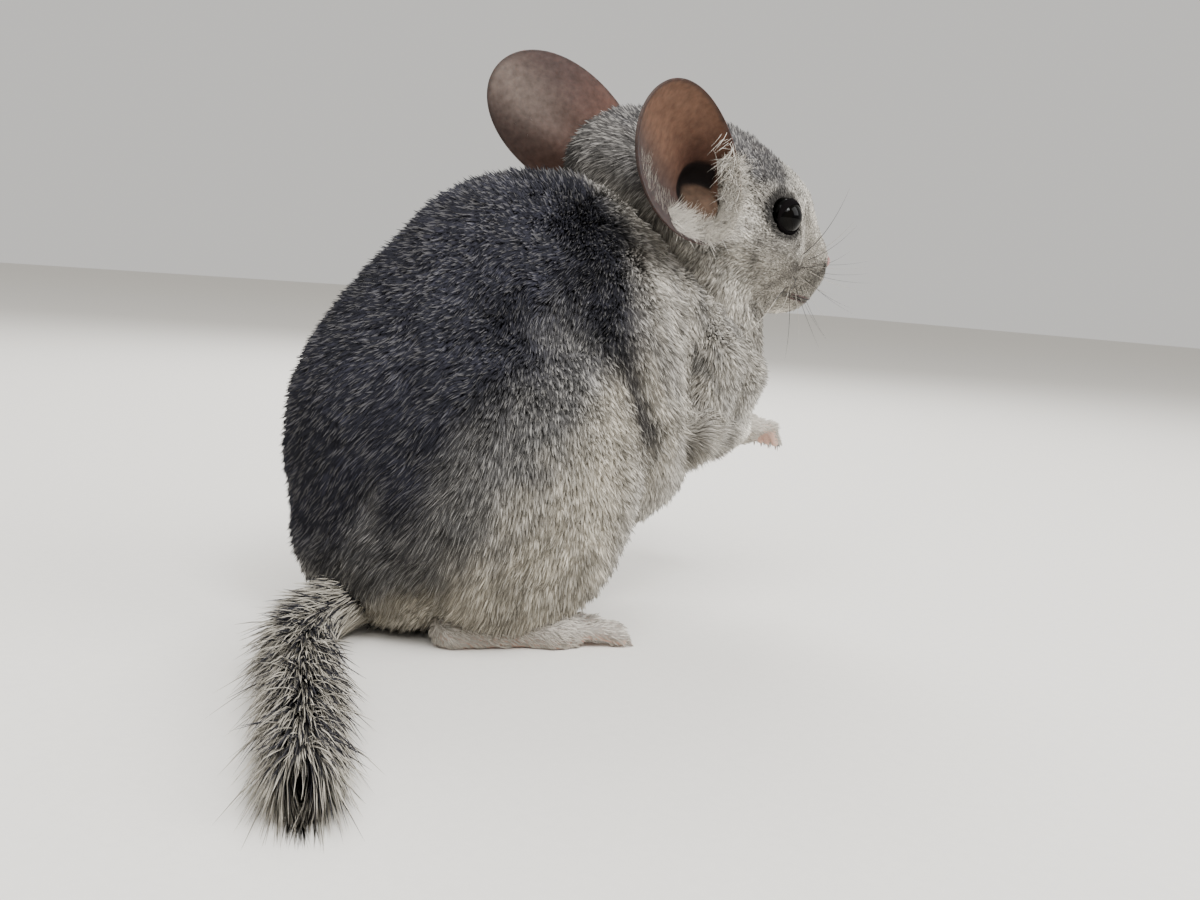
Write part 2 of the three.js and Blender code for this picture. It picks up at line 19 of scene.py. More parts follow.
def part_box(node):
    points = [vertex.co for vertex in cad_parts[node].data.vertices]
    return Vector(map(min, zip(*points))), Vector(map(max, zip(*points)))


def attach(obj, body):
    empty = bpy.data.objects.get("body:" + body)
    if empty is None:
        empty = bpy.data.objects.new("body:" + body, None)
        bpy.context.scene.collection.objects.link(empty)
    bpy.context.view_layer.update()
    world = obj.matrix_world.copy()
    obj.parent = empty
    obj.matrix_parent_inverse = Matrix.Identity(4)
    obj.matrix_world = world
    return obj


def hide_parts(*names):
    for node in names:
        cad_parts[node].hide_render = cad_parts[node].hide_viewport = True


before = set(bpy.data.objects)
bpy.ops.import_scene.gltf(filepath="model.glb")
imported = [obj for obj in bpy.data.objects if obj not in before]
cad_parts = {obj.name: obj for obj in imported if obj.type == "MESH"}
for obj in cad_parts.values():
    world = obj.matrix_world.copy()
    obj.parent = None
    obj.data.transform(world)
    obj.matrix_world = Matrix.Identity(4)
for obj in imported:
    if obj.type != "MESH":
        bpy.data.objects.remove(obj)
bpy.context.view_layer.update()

LOG = logging.getLogger("chinchilla")
MM = 0.001
BODY = "root"
TINY = 1e-9
SIDES = {"left": 1, "right": -1}

Array = np.ndarray


def at(forward: float, left: float, up: float) -> Array:
    """Gives a place or direction of the body from how far forward, to its left and up it is."""
    return np.array([left, -forward, up], float)


UP = at(0, 0, 1)


def unit(vectors: Array) -> Array:
    """Gives vectors the length of one."""
    return vectors / np.maximum(np.linalg.norm(vectors, axis=-1, keepdims=True), TINY)


def dot(a: Array, b: Array) -> Array:
    """Gives the dot product of each pair of vectors."""
    return np.sum(a * b, axis=-1)


def smooth(low: float, high: float, value: Array) -> Array:
    """Rises smoothly from 0 at low to 1 at high; high may be the smaller one."""
    share = np.clip((value - low) / (high - low), 0, 1)
    return share * share * (3 - 2 * share)


def mix(first: Any, second: Any, share: Any) -> Any:
    """Goes from the first value to the second as the share goes from 0 to 1."""
    return first + (second - first) * share


def tint(first: Array, second: Array, share: Array) -> Array:
    """Goes from the first colour to the second at each point, by the point's share."""
    return first + (second - first) * np.asarray(share)[..., None]


def turn_about(axis: Array, degrees: float) -> Array:
    """Gives the matrix of a turn about an axis."""
    return np.array(Matrix.Rotation(math.radians(degrees), 3, Vector(axis)))


def linear(colour: str) -> Array:
    """Turns an sRGB hex colour to linear red, green and blue."""
    channels = np.array([int(colour[i : i + 2], 16) / 255 for i in (1, 3, 5)])
    return np.where(channels <= 0.04045, channels / 12.92, ((channels + 0.055) / 1.055) ** 2.4)


class Noise:
    """Soft random values in space, the same on every run."""

    TABLE = 4096
    PRIMES = (73856093, 19349663, 83492791)

    def __init__(self, seed: int) -> None:
        """Draws the table of values that the lattice reads."""
        self.values = np.random.default_rng(seed).uniform(-1, 1, self.TABLE)

    def level(self, points: Array, size: float) -> Array:
        """Gives a value from -1 to 1 at each point.

        Args:
            points: Places in millimetres.
            size: The distance over which the value changes.

        Returns:
            One value for each point.
        """
        cells = points / size
        base = np.floor(cells).astype(np.int64)
        share = cells - base
        share = share * share * (3 - 2 * share)
        total = np.zeros(len(points))
        for corner in itertools.product((0, 1), repeat=3):
            lattice = (base + corner) * self.PRIMES
            key = (lattice[:, 0] ^ lattice[:, 1] ^ lattice[:, 2]) & (self.TABLE - 1)
            weight = np.prod(np.where(corner, share, 1 - share), axis=1)
            total += weight * self.values[key]
        return total

    def vector(self, points: Array, size: float) -> Array:
        """Gives three unlike values at each point, as a vector."""
        shifts = (0.0, 371.3, 912.7)
        return np.stack([self.level(points + shift, size) for shift in shifts], axis=-1)


class Form(Protocol):
    """A rounded shape, known by the distance of a point from its surface."""

    def distance(self, points: Array) -> Array:
        """Gives the distance of each point, which is below 0 inside."""


@dataclass(frozen=True)
class Mass:
    """An ellipsoid of flesh: its centre, its radii along its own axes, and their turn."""

    centre: Array
    radii: Array
    turn: Array

    def distance(self, points: Array) -> Array:
        """Gives the distance of each point from the ellipsoid, close to true near it.

        Args:
            points: Places in millimetres.

        Returns:
            One distance for each point.
        """
        local = (points - self.centre) @ self.turn
        k0 = np.linalg.norm(local / self.radii, axis=-1)
        k1 = np.linalg.norm(local / self.radii**2, axis=-1)
        return np.where(k1 > TINY, k0 * (k0 - 1) / np.maximum(k1, TINY), -np.min(self.radii))


@dataclass(frozen=True)
class Limb:
    """A cone with round ends from one joint to the next."""

    start: Array
    start_radius: float
    end: Array
    end_radius: float

    def distance(self, points: Array) -> Array:
        """Gives the distance of each point from the limb.

        Args:
            points: Places in millimetres.

        Returns:
            One distance for each point.
        """
        along = self.end - self.start
        offset = points - self.start
        share = np.clip(offset @ along / (along @ along), 0, 1)
        radius = self.start_radius + (self.end_radius - self.start_radius) * share
        return np.linalg.norm(offset - share[:, None] * along, axis=-1) - radius


@dataclass(frozen=True)
class Blend:
    """Forms that run into each other over a width, as flesh does."""

    width: float
    forms: tuple[Form, ...]

    def distance(self, points: Array) -> Array:
        """Gives the distance of each point from the joined forms.

        Args:
            points: Places in millimetres.

        Returns:
            One distance for each point.
        """
        result = self.forms[0].distance(points)
        for form in self.forms[1:]:
            other = form.distance(points)
            overlap = np.maximum(self.width - np.abs(result - other), 0) / self.width
            result = np.minimum(result, other) - overlap * overlap * self.width / 4
        return result


@dataclass(frozen=True)
class Head:
    """How the head is held: turned a little to its right, nose down, and tipped to the right."""

    centre: Array
    turn: Array

    def direction(self, forward: float, left: float, up: float) -> Array:
        """Gives a direction of the head in the row's frame."""
        return self.turn @ at(forward, left, up)

    def point(self, forward: float, left: float, up: float) -> Array:
        """Gives a place of the head in the row's frame."""
        return self.centre + self.direction(forward, left, up)

    def local(self, points: Array) -> tuple[Array, Array, Array]:
        """Gives how far forward, to the left and up in the head each point is."""
        own = (points - self.centre) @ self.turn
        return -own[:, 1], own[:, 0], own[:, 2]


HEAD = Head(
    centre=at(88, -8, 136),
    turn=turn_about(UP, -8) @ turn_about(at(0, 1, 0), 20) @ turn_about(at(-1, 0, 0), -12),
)


@dataclass(frozen=True)
class Anatomy:
    """The outline of the whole coat, from the same masses as the solids, and the skin inside it."""

    trunk: tuple[float, float, float] = (171, 104, 140)
    head: tuple[float, float, float] = (86, 52, 58)
    body_depth: float = 5.0
    nape_depth: float = 4.0
    muzzle_depth: float = 0.7
    fold_depth: float = 2.6
    rest_height: float = 1.2

    NECK_NORMAL = unit(at(0.67, 0, 0.74))
    NAPE_FOLD = at(31, 0, 139)
    NECK_DEPTH = 14

    def trunk_mass(self, place: tuple, size: tuple) -> Mass:
        """Makes a mass of the trunk, in shares of the trunk's length, width and height.

        Args:
            place: How far forward, to the left and up its centre is.
            size: Its half length, half width and half height.

        Returns:
            The mass.
        """
        length, width, height = self.trunk
        centre = at(place[0] * length, place[1] * width, place[2] * height)
        radii = np.array([size[1] * width, size[0] * length, size[2] * height])
        return Mass(centre, radii, np.eye(3))

    def head_mass(self, place: tuple, size: tuple) -> Mass:
        """Makes a mass of the head, in shares of the head's length, width and height.

        Args:
            place: How far forward, to the left and up its centre is.
            size: Its half length, half width and half height.

        Returns:
            The mass.
        """
        length, width, height = self.head
        centre = HEAD.point(place[0] * length, place[1] * width, place[2] * height)
        radii = np.array([size[1] * width, size[0] * length, size[2] * height])
        return Mass(centre, radii, HEAD.turn)

    def foreleg(self, side: int) -> Blend:
        """Makes the upper arm and forearm of one side."""
        shoulder, elbow, wrist = at(70, side * 24, 84), at(64, side * 27, 60), at(94, side * 13, 60)
        return Blend(6, (Limb(shoulder, 13, elbow, 10), Limb(elbow, 9.5, wrist, 5.2)))

    def eye(self, side: int) -> Array:
        """Gives the middle of the eye of one side."""
        return HEAD.point(10.5, side * 17.4, 1.8)

    def haunch(self, side: int) -> Mass:
        """Makes the thigh of one side."""
        return self.trunk_mass((-0.012, side * 0.327, 0.329), (0.234, 0.202, 0.315))

    def outline(self) -> Blend:
        """Makes the outline of the coat, from the rump to the muzzle.

        Returns:
            The joined forms of trunk, haunches, nape, face and forelegs.
        """
        trunk = Blend(12, (
            self.trunk_mass((-0.029, 0, 0.397), (0.304, 0.475, 0.407)),
            self.trunk_mass((0.117, 0, 0.6), (0.322, 0.43, 0.393)),
            self.trunk_mass((0.433, 0, 0.614), (0.185, 0.31, 0.3)),
            self.trunk_mass((0.386, -0.02, 0.83), (0.185, 0.235, 0.243)),
            self.trunk_mass((0.222, 0, 0.4), (0.22, 0.385, 0.235)),
            self.trunk_mass((-0.15, 0, 0.18), (0.15, 0.35, 0.18)),
        ))
        face = Blend(6, (
            self.head_mass((-0.093, 0, -0.017), (0.39, 0.45, 0.39)),
            self.head_mass((0.116, 0, 0.017), (0.256, 0.33, 0.3)),
            self.head_mass((0.325, 0, -0.155), (0.2, 0.24, 0.265)),
            self.head_mass((0.07, 0.26, -0.2), (0.25, 0.25, 0.27)),
            self.head_mass((0.07, -0.26, -0.2), (0.25, 0.25, 0.27)),
            self.head_mass((0.34, 0, -0.31), (0.15, 0.19, 0.165)),
        ))
        nape = self.trunk_mass((0.3, -0.035, 0.965), (0.152, 0.215, 0.19))
        body = Blend(7, (trunk, self.haunch(1), self.haunch(-1)))
        whole = Blend(10, (body, Blend(8, (nape, face))))
        return Blend(6, (whole, self.foreleg(1), self.foreleg(-1)))

    def above_fold(self, points: Array) -> Array:
        """Gives how far each point is past the fold of the nape, towards the head."""
        return (points - self.NAPE_FOLD) @ self.NECK_NORMAL

    def headness(self, points: Array) -> Array:
        """Gives 0 on the body and 1 on the head."""
        return smooth(2, 20, self.above_fold(points))

    def depth(self, points: Array) -> Array:
        """Gives how deep under the outline the skin lies, which is the depth of the coat.

        Args:
            points: Places near the outline.

        Returns:
            The depth in millimetres.
        """
        forward, _, _ = HEAD.local(points)
        face = smooth(-14, 30, forward)
        on_head = mix(self.nape_depth, self.muzzle_depth, face)
        depth = mix(self.body_depth, on_head, self.headness(points))
        for side in SIDES.values():
            wrist = self.foreleg(side).forms[1].end
            near = smooth(34, 6, np.linalg.norm(points - wrist, axis=-1))
            depth = mix(depth, 1.0, near)
        high = smooth(70, 105, points[:, 2])
        fold = np.exp(-((self.above_fold(points) / 4.5) ** 2)) * high
        return depth + self.fold_depth * fold * (1 - self.headness(points))

    def skin(self, points: Array) -> Array:
        """Gives the distance of each point from the skin."""
        under = self.outline().distance(points) + self.depth(points)
        return np.maximum(under, self.rest_height - points[:, 2])


ANATOMY = Anatomy()


def gradient(distance: Any, points: Array) -> Array:
    """Gives the outward direction of a distance at each point.

    Args:
        distance: Gives the distance of each point.
        points: Places in millimetres.

    Returns:
        One vector for each point, as long as the distance rises there.
    """
    step = 0.05
    columns = []
    for axis in np.eye(3) * step:
        columns.append(distance(points + axis) - distance(points - axis))
    return np.stack(columns, axis=-1) / (2 * step)


def net_surface(distance: Any, low: Array, high: Array, cell: float) -> tuple[Array, Array]:
    """Nets the surface where a distance is 0 with four-sided faces, and draws the net tight.

    Args:
        distance: Gives the distance of each point, below 0 inside.
        low: The lowest corner of the box that holds the surface.
        high: The highest corner of that box.
        cell: The size of a cell of the net.

    Returns:
        The corners, and the four corners of each face.
    """
    axes = [np.arange(low[i], high[i] + cell, cell) for i in range(3)]
    grid = np.stack(np.meshgrid(*axes, indexing="ij"), axis=-1)
    inside = distance(grid.reshape(-1, 3)).reshape(grid.shape[:3]) < 0
    cells = tuple(n - 1 for n in inside.shape)
    count = np.zeros(cells, int)
    for a, b, c in itertools.product((0, 1), repeat=3):
        count += inside[a : a + cells[0], b : b + cells[1], c : c + cells[2]]
    crossed = (count > 0) & (count < 8)
    number = np.full(cells, -1)
    number[crossed] = np.arange(crossed.sum())
    corners = grid[:-1, :-1, :-1][crossed] + cell / 2
    faces = []
    for axis in range(3):
        other = [i for i in range(3) if i != axis]
        here = np.moveaxis(inside, (axis, *other), (0, 1, 2))
        numbers = np.moveaxis(number, (axis, *other), (0, 1, 2))
        first, second = here[:-1, 1:-1, 1:-1], here[1:, 1:-1, 1:-1]
        ring = [numbers[:, :-1, :-1], numbers[:, 1:, :-1], numbers[:, 1:, 1:], numbers[:, :-1, 1:]]
        leaving, entering = first & ~second, ~first & second
        if axis == 1:
            leaving, entering = entering, leaving
        faces.append(np.stack([side[leaving] for side in ring], axis=-1))
        faces.append(np.stack([side[entering] for side in ring[::-1]], axis=-1))
    quads = np.concatenate(faces)
    edges = np.concatenate([quads[:, [i, (i + 1) % 4]] for i in range(4)])
    degree = np.bincount(edges[:, 0], minlength=len(corners))[:, None]
    for relaxing in (0.5, 0.5, 0.3, 0.0):
        slope = gradient(distance, corners)
        square = np.maximum(dot(slope, slope), 0.05)[:, None]
        corners = corners - distance(corners)[:, None] * slope / square
        if relaxing:
            sums = [np.bincount(edges[:, 0], corners[edges[:, 1], i], len(corners)) for i in range(3)]
            corners = mix(corners, np.stack(sums, axis=-1) / np.maximum(degree, 1), np.array(relaxing))
    return corners, quads


def octahedral(directions: Array) -> Array:
    """Unwraps the directions round a centre to a square, as an octahedron folds flat.

    Args:
        directions: Vectors of length one from the centre.

    Returns:
        Places in the square from 0 to 1.
    """
    flat = directions / np.sum(np.abs(directions), axis=-1, keepdims=True)
    u, v = flat[:, 0], flat[:, 1]
    folded_u = np.where(flat[:, 2] >= 0, u, (1 - np.abs(v)) * np.where(u >= 0, 1, -1))
    folded_v = np.where(flat[:, 2] >= 0, v, (1 - np.abs(u)) * np.where(v >= 0, 1, -1))
    return np.stack([folded_u, folded_v], axis=-1) * 0.49 + 0.5


@dataclass
class MeshData:
    """Corners and faces of a mesh, with what each corner carries."""

    corners: Array
    faces: list[Array]
    colours: Array | None = None
    normals: Array | None = None
    patches: Array | None = None

    def count(self) -> int:
        """Gives the number of triangles."""
        return sum(len(block) * (block.shape[1] - 2) for block in self.faces)


def make_piece(name: str, data: MeshData, material: bpy.types.Material) -> bpy.types.Object:
    """Makes an object of a mesh given in millimetres.

    Args:
        name: The name of the piece.
        data: The mesh.
        material: What the piece is made of.

    Returns:
        The object, linked to the scene.
    """
    mesh = bpy.data.meshes.new(name)
    indices = np.concatenate([block.ravel() for block in data.faces]).astype(np.int32)
    totals = np.concatenate([np.full(len(block), block.shape[1]) for block in data.faces])
    mesh.vertices.add(len(data.corners))
    mesh.vertices.foreach_set("co", (data.corners * MM).astype(np.float32).ravel())
    mesh.loops.add(len(indices))
    mesh.loops.foreach_set("vertex_index", indices)
    mesh.polygons.add(len(totals))
    mesh.polygons.foreach_set("loop_start", (np.cumsum(totals) - totals).astype(np.int32))
    mesh.polygons.foreach_set("use_smooth", np.ones(len(totals), bool))
    mesh.update(calc_edges=True)
    if data.colours is not None:
        layer = mesh.color_attributes.new(name="markings", type="FLOAT_COLOR", domain="POINT")
        opaque = np.concatenate([data.colours, np.ones((len(data.colours), 1))], axis=1)
        layer.data.foreach_set("color", opaque.astype(np.float32).ravel())
    if data.patches is not None:
        unwrap = mesh.uv_layers.new(name="OFBake")
        unwrap.data.foreach_set("uv", data.patches[indices].astype(np.float32).ravel())
    if data.normals is not None:
        mesh.normals_split_custom_set_from_vertices(data.normals.astype(np.float32))
    mesh.materials.append(material)
    piece = bpy.data.objects.new(name, mesh)
    bpy.context.scene.collection.objects.link(piece)
    LOG.info("%s: %d triangles", name, data.count())
    return piece


def solid_box(node: str) -> tuple[Array, Array]:
    """Gives the lowest and highest corner of a solid, in millimetres."""
    low, high = (np.array(corner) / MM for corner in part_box(node))
    return low, high


class Slot(Enum):
    """The material slots."""

    COAT = "coat"
    TAIL = "tail"
    EAR = "ear"
    PAW = "paw"
    EYE = "eye"


def hand_over(piece: bpy.types.Object, slot: Slot, *nodes: str) -> None:
    """Attaches a finished piece to the body, and hides the solids that it stands for.

    Args:
        piece: The finished piece.
        slot: Its material slot; not used.
        *nodes: The solids that it stands for.
    """
    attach(piece, BODY)
    if nodes:
        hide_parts(*nodes)


def add_node(tree: bpy.types.NodeTree, kind: str, settings: dict | None = None, **links: Any) -> Any:
    """Adds a node with its settings and what its sockets read.

    Args:
        tree: The node tree.
        kind: The type of node.
        settings: Properties of the node, and values of its sockets under the socket's name or number.
        **links: Output sockets to link, under the input's name with underscores for spaces.

    Returns:
        The node.
    """
    node = tree.nodes.new(kind)
    for name, value in (settings or {}).items():
        if isinstance(name, str) and hasattr(node, name):
            setattr(node, name, value)
        else:
            node.inputs[name].default_value = value
    for name, source in links.items():
        key = int(name[1:]) if name[0] == "_" else name.replace("_", " ")
        tree.links.new(source, node.inputs[key])
    return node


@dataclass(frozen=True)
class Finish:
    """A surface that takes its colour from the markings, broken up by fine noise and bump."""

    name: str
    roughness: float
    ior: float
    specular: float = 0.5
    grain_mm: float = 0.4
    grain_strength: float = 0.15
    bump_mm: float = 0.0
    wrinkle_mm: float = 0.0
    subsurface: float = 0.0

    BLOOD = linear("#c0705a")
    GLOW_MM = 2

    def make(self) -> bpy.types.Material:
        """Makes the material.

        Returns:
            The material.
        """
        material = bpy.data.materials.new(self.name)
        material.use_nodes = True
        tree = material.node_tree
        shader = tree.nodes["Principled BSDF"]
        shader.inputs["Roughness"].default_value = self.roughness
        shader.inputs["IOR"].default_value = self.ior
        shader.inputs["Specular IOR Level"].default_value = self.specular
        shader.inputs["Subsurface Weight"].default_value = self.subsurface
        shader.inputs["Subsurface Scale"].default_value = self.GLOW_MM * MM
        shader.inputs["Subsurface Radius"].default_value = tuple(self.BLOOD)
        place = add_node(tree, "ShaderNodeTexCoord").outputs["Object"]
        marking = add_node(tree, "ShaderNodeAttribute", {"attribute_name": "markings"})
        grain = add_node(
            tree, "ShaderNodeTexNoise", {"Scale": 1 / (self.grain_mm * MM), "Detail": 3.0}, Vector=place
        )
        low, high = 1 - self.grain_strength, 1 + self.grain_strength
        level = add_node(
            tree,
            "ShaderNodeMapRange",
            {"From Min": 0.3, "From Max": 0.7, "To Min": low, "To Max": high},
            Value=grain.outputs["Fac"],
        )
        tinted = add_node(
            tree, "ShaderNodeVectorMath", {"operation": "MULTIPLY"},
            _0=marking.outputs["Color"], _1=level.outputs[0],
        )
        tree.links.new(tinted.outputs[0], shader.inputs["Base Color"])
        if self.bump_mm:
            self.add_bump(tree, shader, place, grain)
        return material

    def add_bump(self, tree: bpy.types.NodeTree, shader: Any, place: Any, grain: Any) -> None:
        """Raises the grain, and wrinkles where the finish has them.

        Args:
            tree: The material's nodes.
            shader: The node whose normal is bent.
            place: Where each shaded point is.
            grain: The node that gives the grain.
        """
        height = grain.outputs["Fac"]
        if self.wrinkle_mm:
            cells = add_node(
                tree,
                "ShaderNodeTexVoronoi",
                {"feature": "DISTANCE_TO_EDGE", "Scale": 1 / (self.wrinkle_mm * MM)},
                Vector=place,
            )
            sunk = add_node(
                tree, "ShaderNodeMapRange", {"From Max": 0.12}, Value=cells.outputs["Distance"]
            )
            height = add_node(
                tree, "ShaderNodeMath", {"operation": "ADD"}, _0=height, _1=sunk.outputs[0]
            ).outputs[0]
        bump = add_node(
            tree, "ShaderNodeBump", {"Strength": 0.6, "Distance": self.bump_mm * MM}, Height=height
        )
        tree.links.new(bump.outputs["Normal"], shader.inputs["Normal"])


# Hair is keratin: each tuft is dull but for a soft shine along the strands.
FUR = Finish("Chinchilla_fur", roughness=0.85, ior=1.55, specular=0.2, grain_mm=0.5, grain_strength=0.1)
# Skin under a dense coat is dry and hardly seen.
SKIN = Finish("Skin_under_the_coat", roughness=0.9, ior=1.4, specular=0.2, bump_mm=0.2)
# An ear is bare thin skin, dull and finely wrinkled, and light glows through it.
EAR_SKIN = Finish(
    "Bare_ear_skin", roughness=0.78, ior=1.4, specular=0.15, grain_mm=2.2, grain_strength=0.22,
    bump_mm=0.25, subsurface=0.12,
)
# The sole and fingers are bare, soft, finely creased skin.
PAW_SKIN = Finish(
    "Bare_paw_skin", roughness=0.6, ior=1.4, specular=0.35, grain_mm=0.5, grain_strength=0.1,
    bump_mm=0.15, wrinkle_mm=0.5, subsurface=0.2,
)
# A claw is translucent horn with a smooth face.
CLAW_HORN = Finish("Claw_horn", roughness=0.35, ior=1.55, grain_mm=0.3, grain_strength=0.12, bump_mm=0.03)
# The eye is wet and dark under a clear cornea.
EYE_WET = Finish(
    "Wet_eye", roughness=0.03, ior=1.34, specular=0.15, grain_mm=0.3, grain_strength=0.25
)
# A lid is dark bare skin, moist at its edge.
LID_SKIN = Finish("Eyelid_skin", roughness=0.92, ior=1.4, specular=0.05, bump_mm=0.05)
# A whisker is a single thick smooth hair.
WHISKER_HAIR = Finish("Whisker_hair", roughness=0.4, ior=1.55)


class Palette:
    """The colours of the animal, in linear values."""

    BACK = linear("#2a2a33")
    # Painted shadow colour, for the fold where the neck and shoulder meet the body.
    CREASE_SHADE = linear("#17171f")
    FLANK = linear("#6d6b69")
    LOW = linear("#b3ab9b")
    SHOULDER = linear("#a8a297")
    BELLY = linear("#d9d4cb")
    UNDERCOAT = linear("#54555c")
    PALE_TIP = linear("#c4c0b8")
    HEAD = linear("#b0aa9f")
    CROWN = linear("#565454")
    FLECK = linear("#45413f")
    CHEEK = linear("#d8d2c6")
    WHITE_HAIR = linear("#e9e3d8")
    TAIL_PALE = linear("#c9c2b3")
    TAIL_DARK = linear("#29282c")
    EYE_RIM = linear("#120f10")
    EAR_GLOW = linear("#5c4437")
    EAR_REAR = linear("#3c3433")
    EAR_RIM = linear("#2f2726")
    EAR_BACK = linear("#3d312e")
    EAR_BACK_GLOW = linear("#553c33")
    EAR_BLOOM = linear("#94877e")
    # Painted shade colour, deep in the ear's hollow.
    EAR_DEEP = linear("#2c1712")
    # Painted shade colour for recesses: the ear canal and the slit of the mouth.
    HOLLOW_SHADE = linear("#0d0807")
    LOBE = linear("#4a3a2f")
    PAW = linear("#caa99a")
    NOSE = linear("#a98480")
    LIP = linear("#5f4f4c")
    CLAW = linear("#8c8078")


@dataclass(frozen=True)
class Markings:
    """Where the coat is dark and where it is pale, for the skin and for the tufts alike."""

    noise: Noise

    DORSAL = unit(at(-0.78, 0, 0.62))
    STREAK_LIE = unit(at(0.5, 0, -0.86))

    def colour(self, points: Array, normals: Array) -> Array:
        """Gives the middle colour of the coat at each point.

        Args:
            points: Places on the skin.
            normals: The outward directions there.

        Returns:
            Linear colours.
        """
        height = points[:, 2] / ANATOMY.trunk[2]
        dorsal = normals @ self.DORSAL
        uneven = 0.12 * self.noise.level(points, 15) + 0.07 * self.noise.level(points, 5)
        tone = 1.1 * dorsal + 0.6 * (height - 0.45) + uneven
        body = tint(Palette.LOW, Palette.FLANK, smooth(-0.15, 0.22, tone))
        body = tint(body, Palette.BACK, smooth(0.2, 0.72, tone))
        forward = -points[:, 1]
        fold = forward - 20 - 0.55 * np.maximum(95 - points[:, 2], 0) + 20 * uneven
        behind = smooth(-26, -4, fold) * smooth(75, 100, points[:, 2])
        body = tint(body, Palette.BACK, behind * 0.8)
        body = tint(body, Palette.SHOULDER, smooth(4, 24, fold) * 0.95)
        along = points @ self.STREAK_LIE
        streaks = self.noise.level(points - 0.85 * along[:, None] * self.STREAK_LIE, 2.6)
        body = tint(body, Palette.FLANK, smooth(0.0, 0.6, streaks) * smooth(6, 16, fold) * 0.55)
        # Painted shadow: a near-black band along the fold where the neck and shoulder meet the body.
        crease_shade = np.exp(-((fold / 8) ** 2)) * smooth(46, 66, points[:, 2])
        body = tint(body, Palette.CREASE_SHADE, crease_shade * 0.9)
        front = smooth(-0.2, -0.75, dorsal) * smooth(10, 30, forward)
        body = tint(body, Palette.BELLY, front * 0.85)
        for side in SIDES.values():
            wrist = ANATOMY.foreleg(side).forms[1].end
            near = smooth(24, 8, np.linalg.norm(points - wrist, axis=-1))
            body = tint(body, Palette.WHITE_HAIR, near * 0.8)
        head = self.head_colour(points, normals)
        return tint(body, head, smooth(-4, 8, ANATOMY.above_fold(points)))

    def head_colour(self, points: Array, normals: Array) -> Array:
        """Gives the colour of the head: darker on the crown, pale behind the cheek and below.

        Args:
            points: Places on the skin.
            normals: The outward directions there.

        Returns:
            Linear colours.
        """
        forward, left, up = HEAD.local(points)
        upward = normals @ HEAD.direction(0, 0, 1)
        uneven = 0.25 * self.noise.level(points, 6)
        crown = smooth(0.15, 0.75, upward + uneven) * smooth(34, 8, forward)
        crown = np.maximum(crown, smooth(-14, -28, forward + 20 * uneven) * smooth(-24, -8, up) * 0.9)
        colour = tint(Palette.HEAD, Palette.CROWN, crown)
        flecks = smooth(0.0, 0.6, self.noise.level(points, 3.2) + 0.3 * self.noise.level(points, 8))
        colour = tint(colour, Palette.FLECK, flecks * 0.5 * smooth(34, 22, forward))
        cheek = smooth(-26, -16, forward) * smooth(12, 0, forward) * smooth(3, -8, up)
        cheek *= smooth(-34, -22, up)
        colour = tint(colour, Palette.CHEEK, cheek * 0.45)
        throat = smooth(-0.35, -0.85, upward)
        colour = tint(colour, Palette.CHEEK, throat * 0.8)
        brow = smooth(6, 13, forward) * smooth(30, 22, forward) * smooth(0.15, 0.5, upward)
        colour = tint(colour, Palette.CHEEK, brow * 0.6)
        mouth = np.abs(up + 16.9 + 0.02 * left**2)
        colour = tint(colour, Palette.EYE_RIM, smooth(1.3, 0.4, mouth) * smooth(24, 30, forward) * 0.4)
        for side in SIDES.values():
            away = np.linalg.norm(points - ANATOMY.eye(side), axis=-1)
            colour = tint(colour, Palette.EYE_RIM, smooth(9.6, 7.2, away) * 0.85)
            before_ear = HEAD.point(-4, side * 29, -3)
            near = smooth(11, 5, np.linalg.norm((points - before_ear) * (1, 1, 0.75), axis=-1))
            colour = tint(colour, Palette.WHITE_HAIR, near * 0.85)
            pad = HEAD.point(34, side * 9, -11)
            rows = 0.5 + 0.5 * np.sin(up * 2.6) * np.sin(forward * 2.6 + up)
            near = smooth(9, 5, np.linalg.norm(points - pad, axis=-1))
            colour = tint(colour, Palette.FLECK, near * rows * 0.4)
        return colour


MARKINGS = Markings(Noise(11))


class Hairs:
    """Hairs or tufts of which each field holds one row apiece."""

    def chosen(self, picked: Array) -> Any:
        """Gives the picked hairs alone."""
        return type(self)(*(getattr(self, name)[picked] for name in self.__dataclass_fields__))


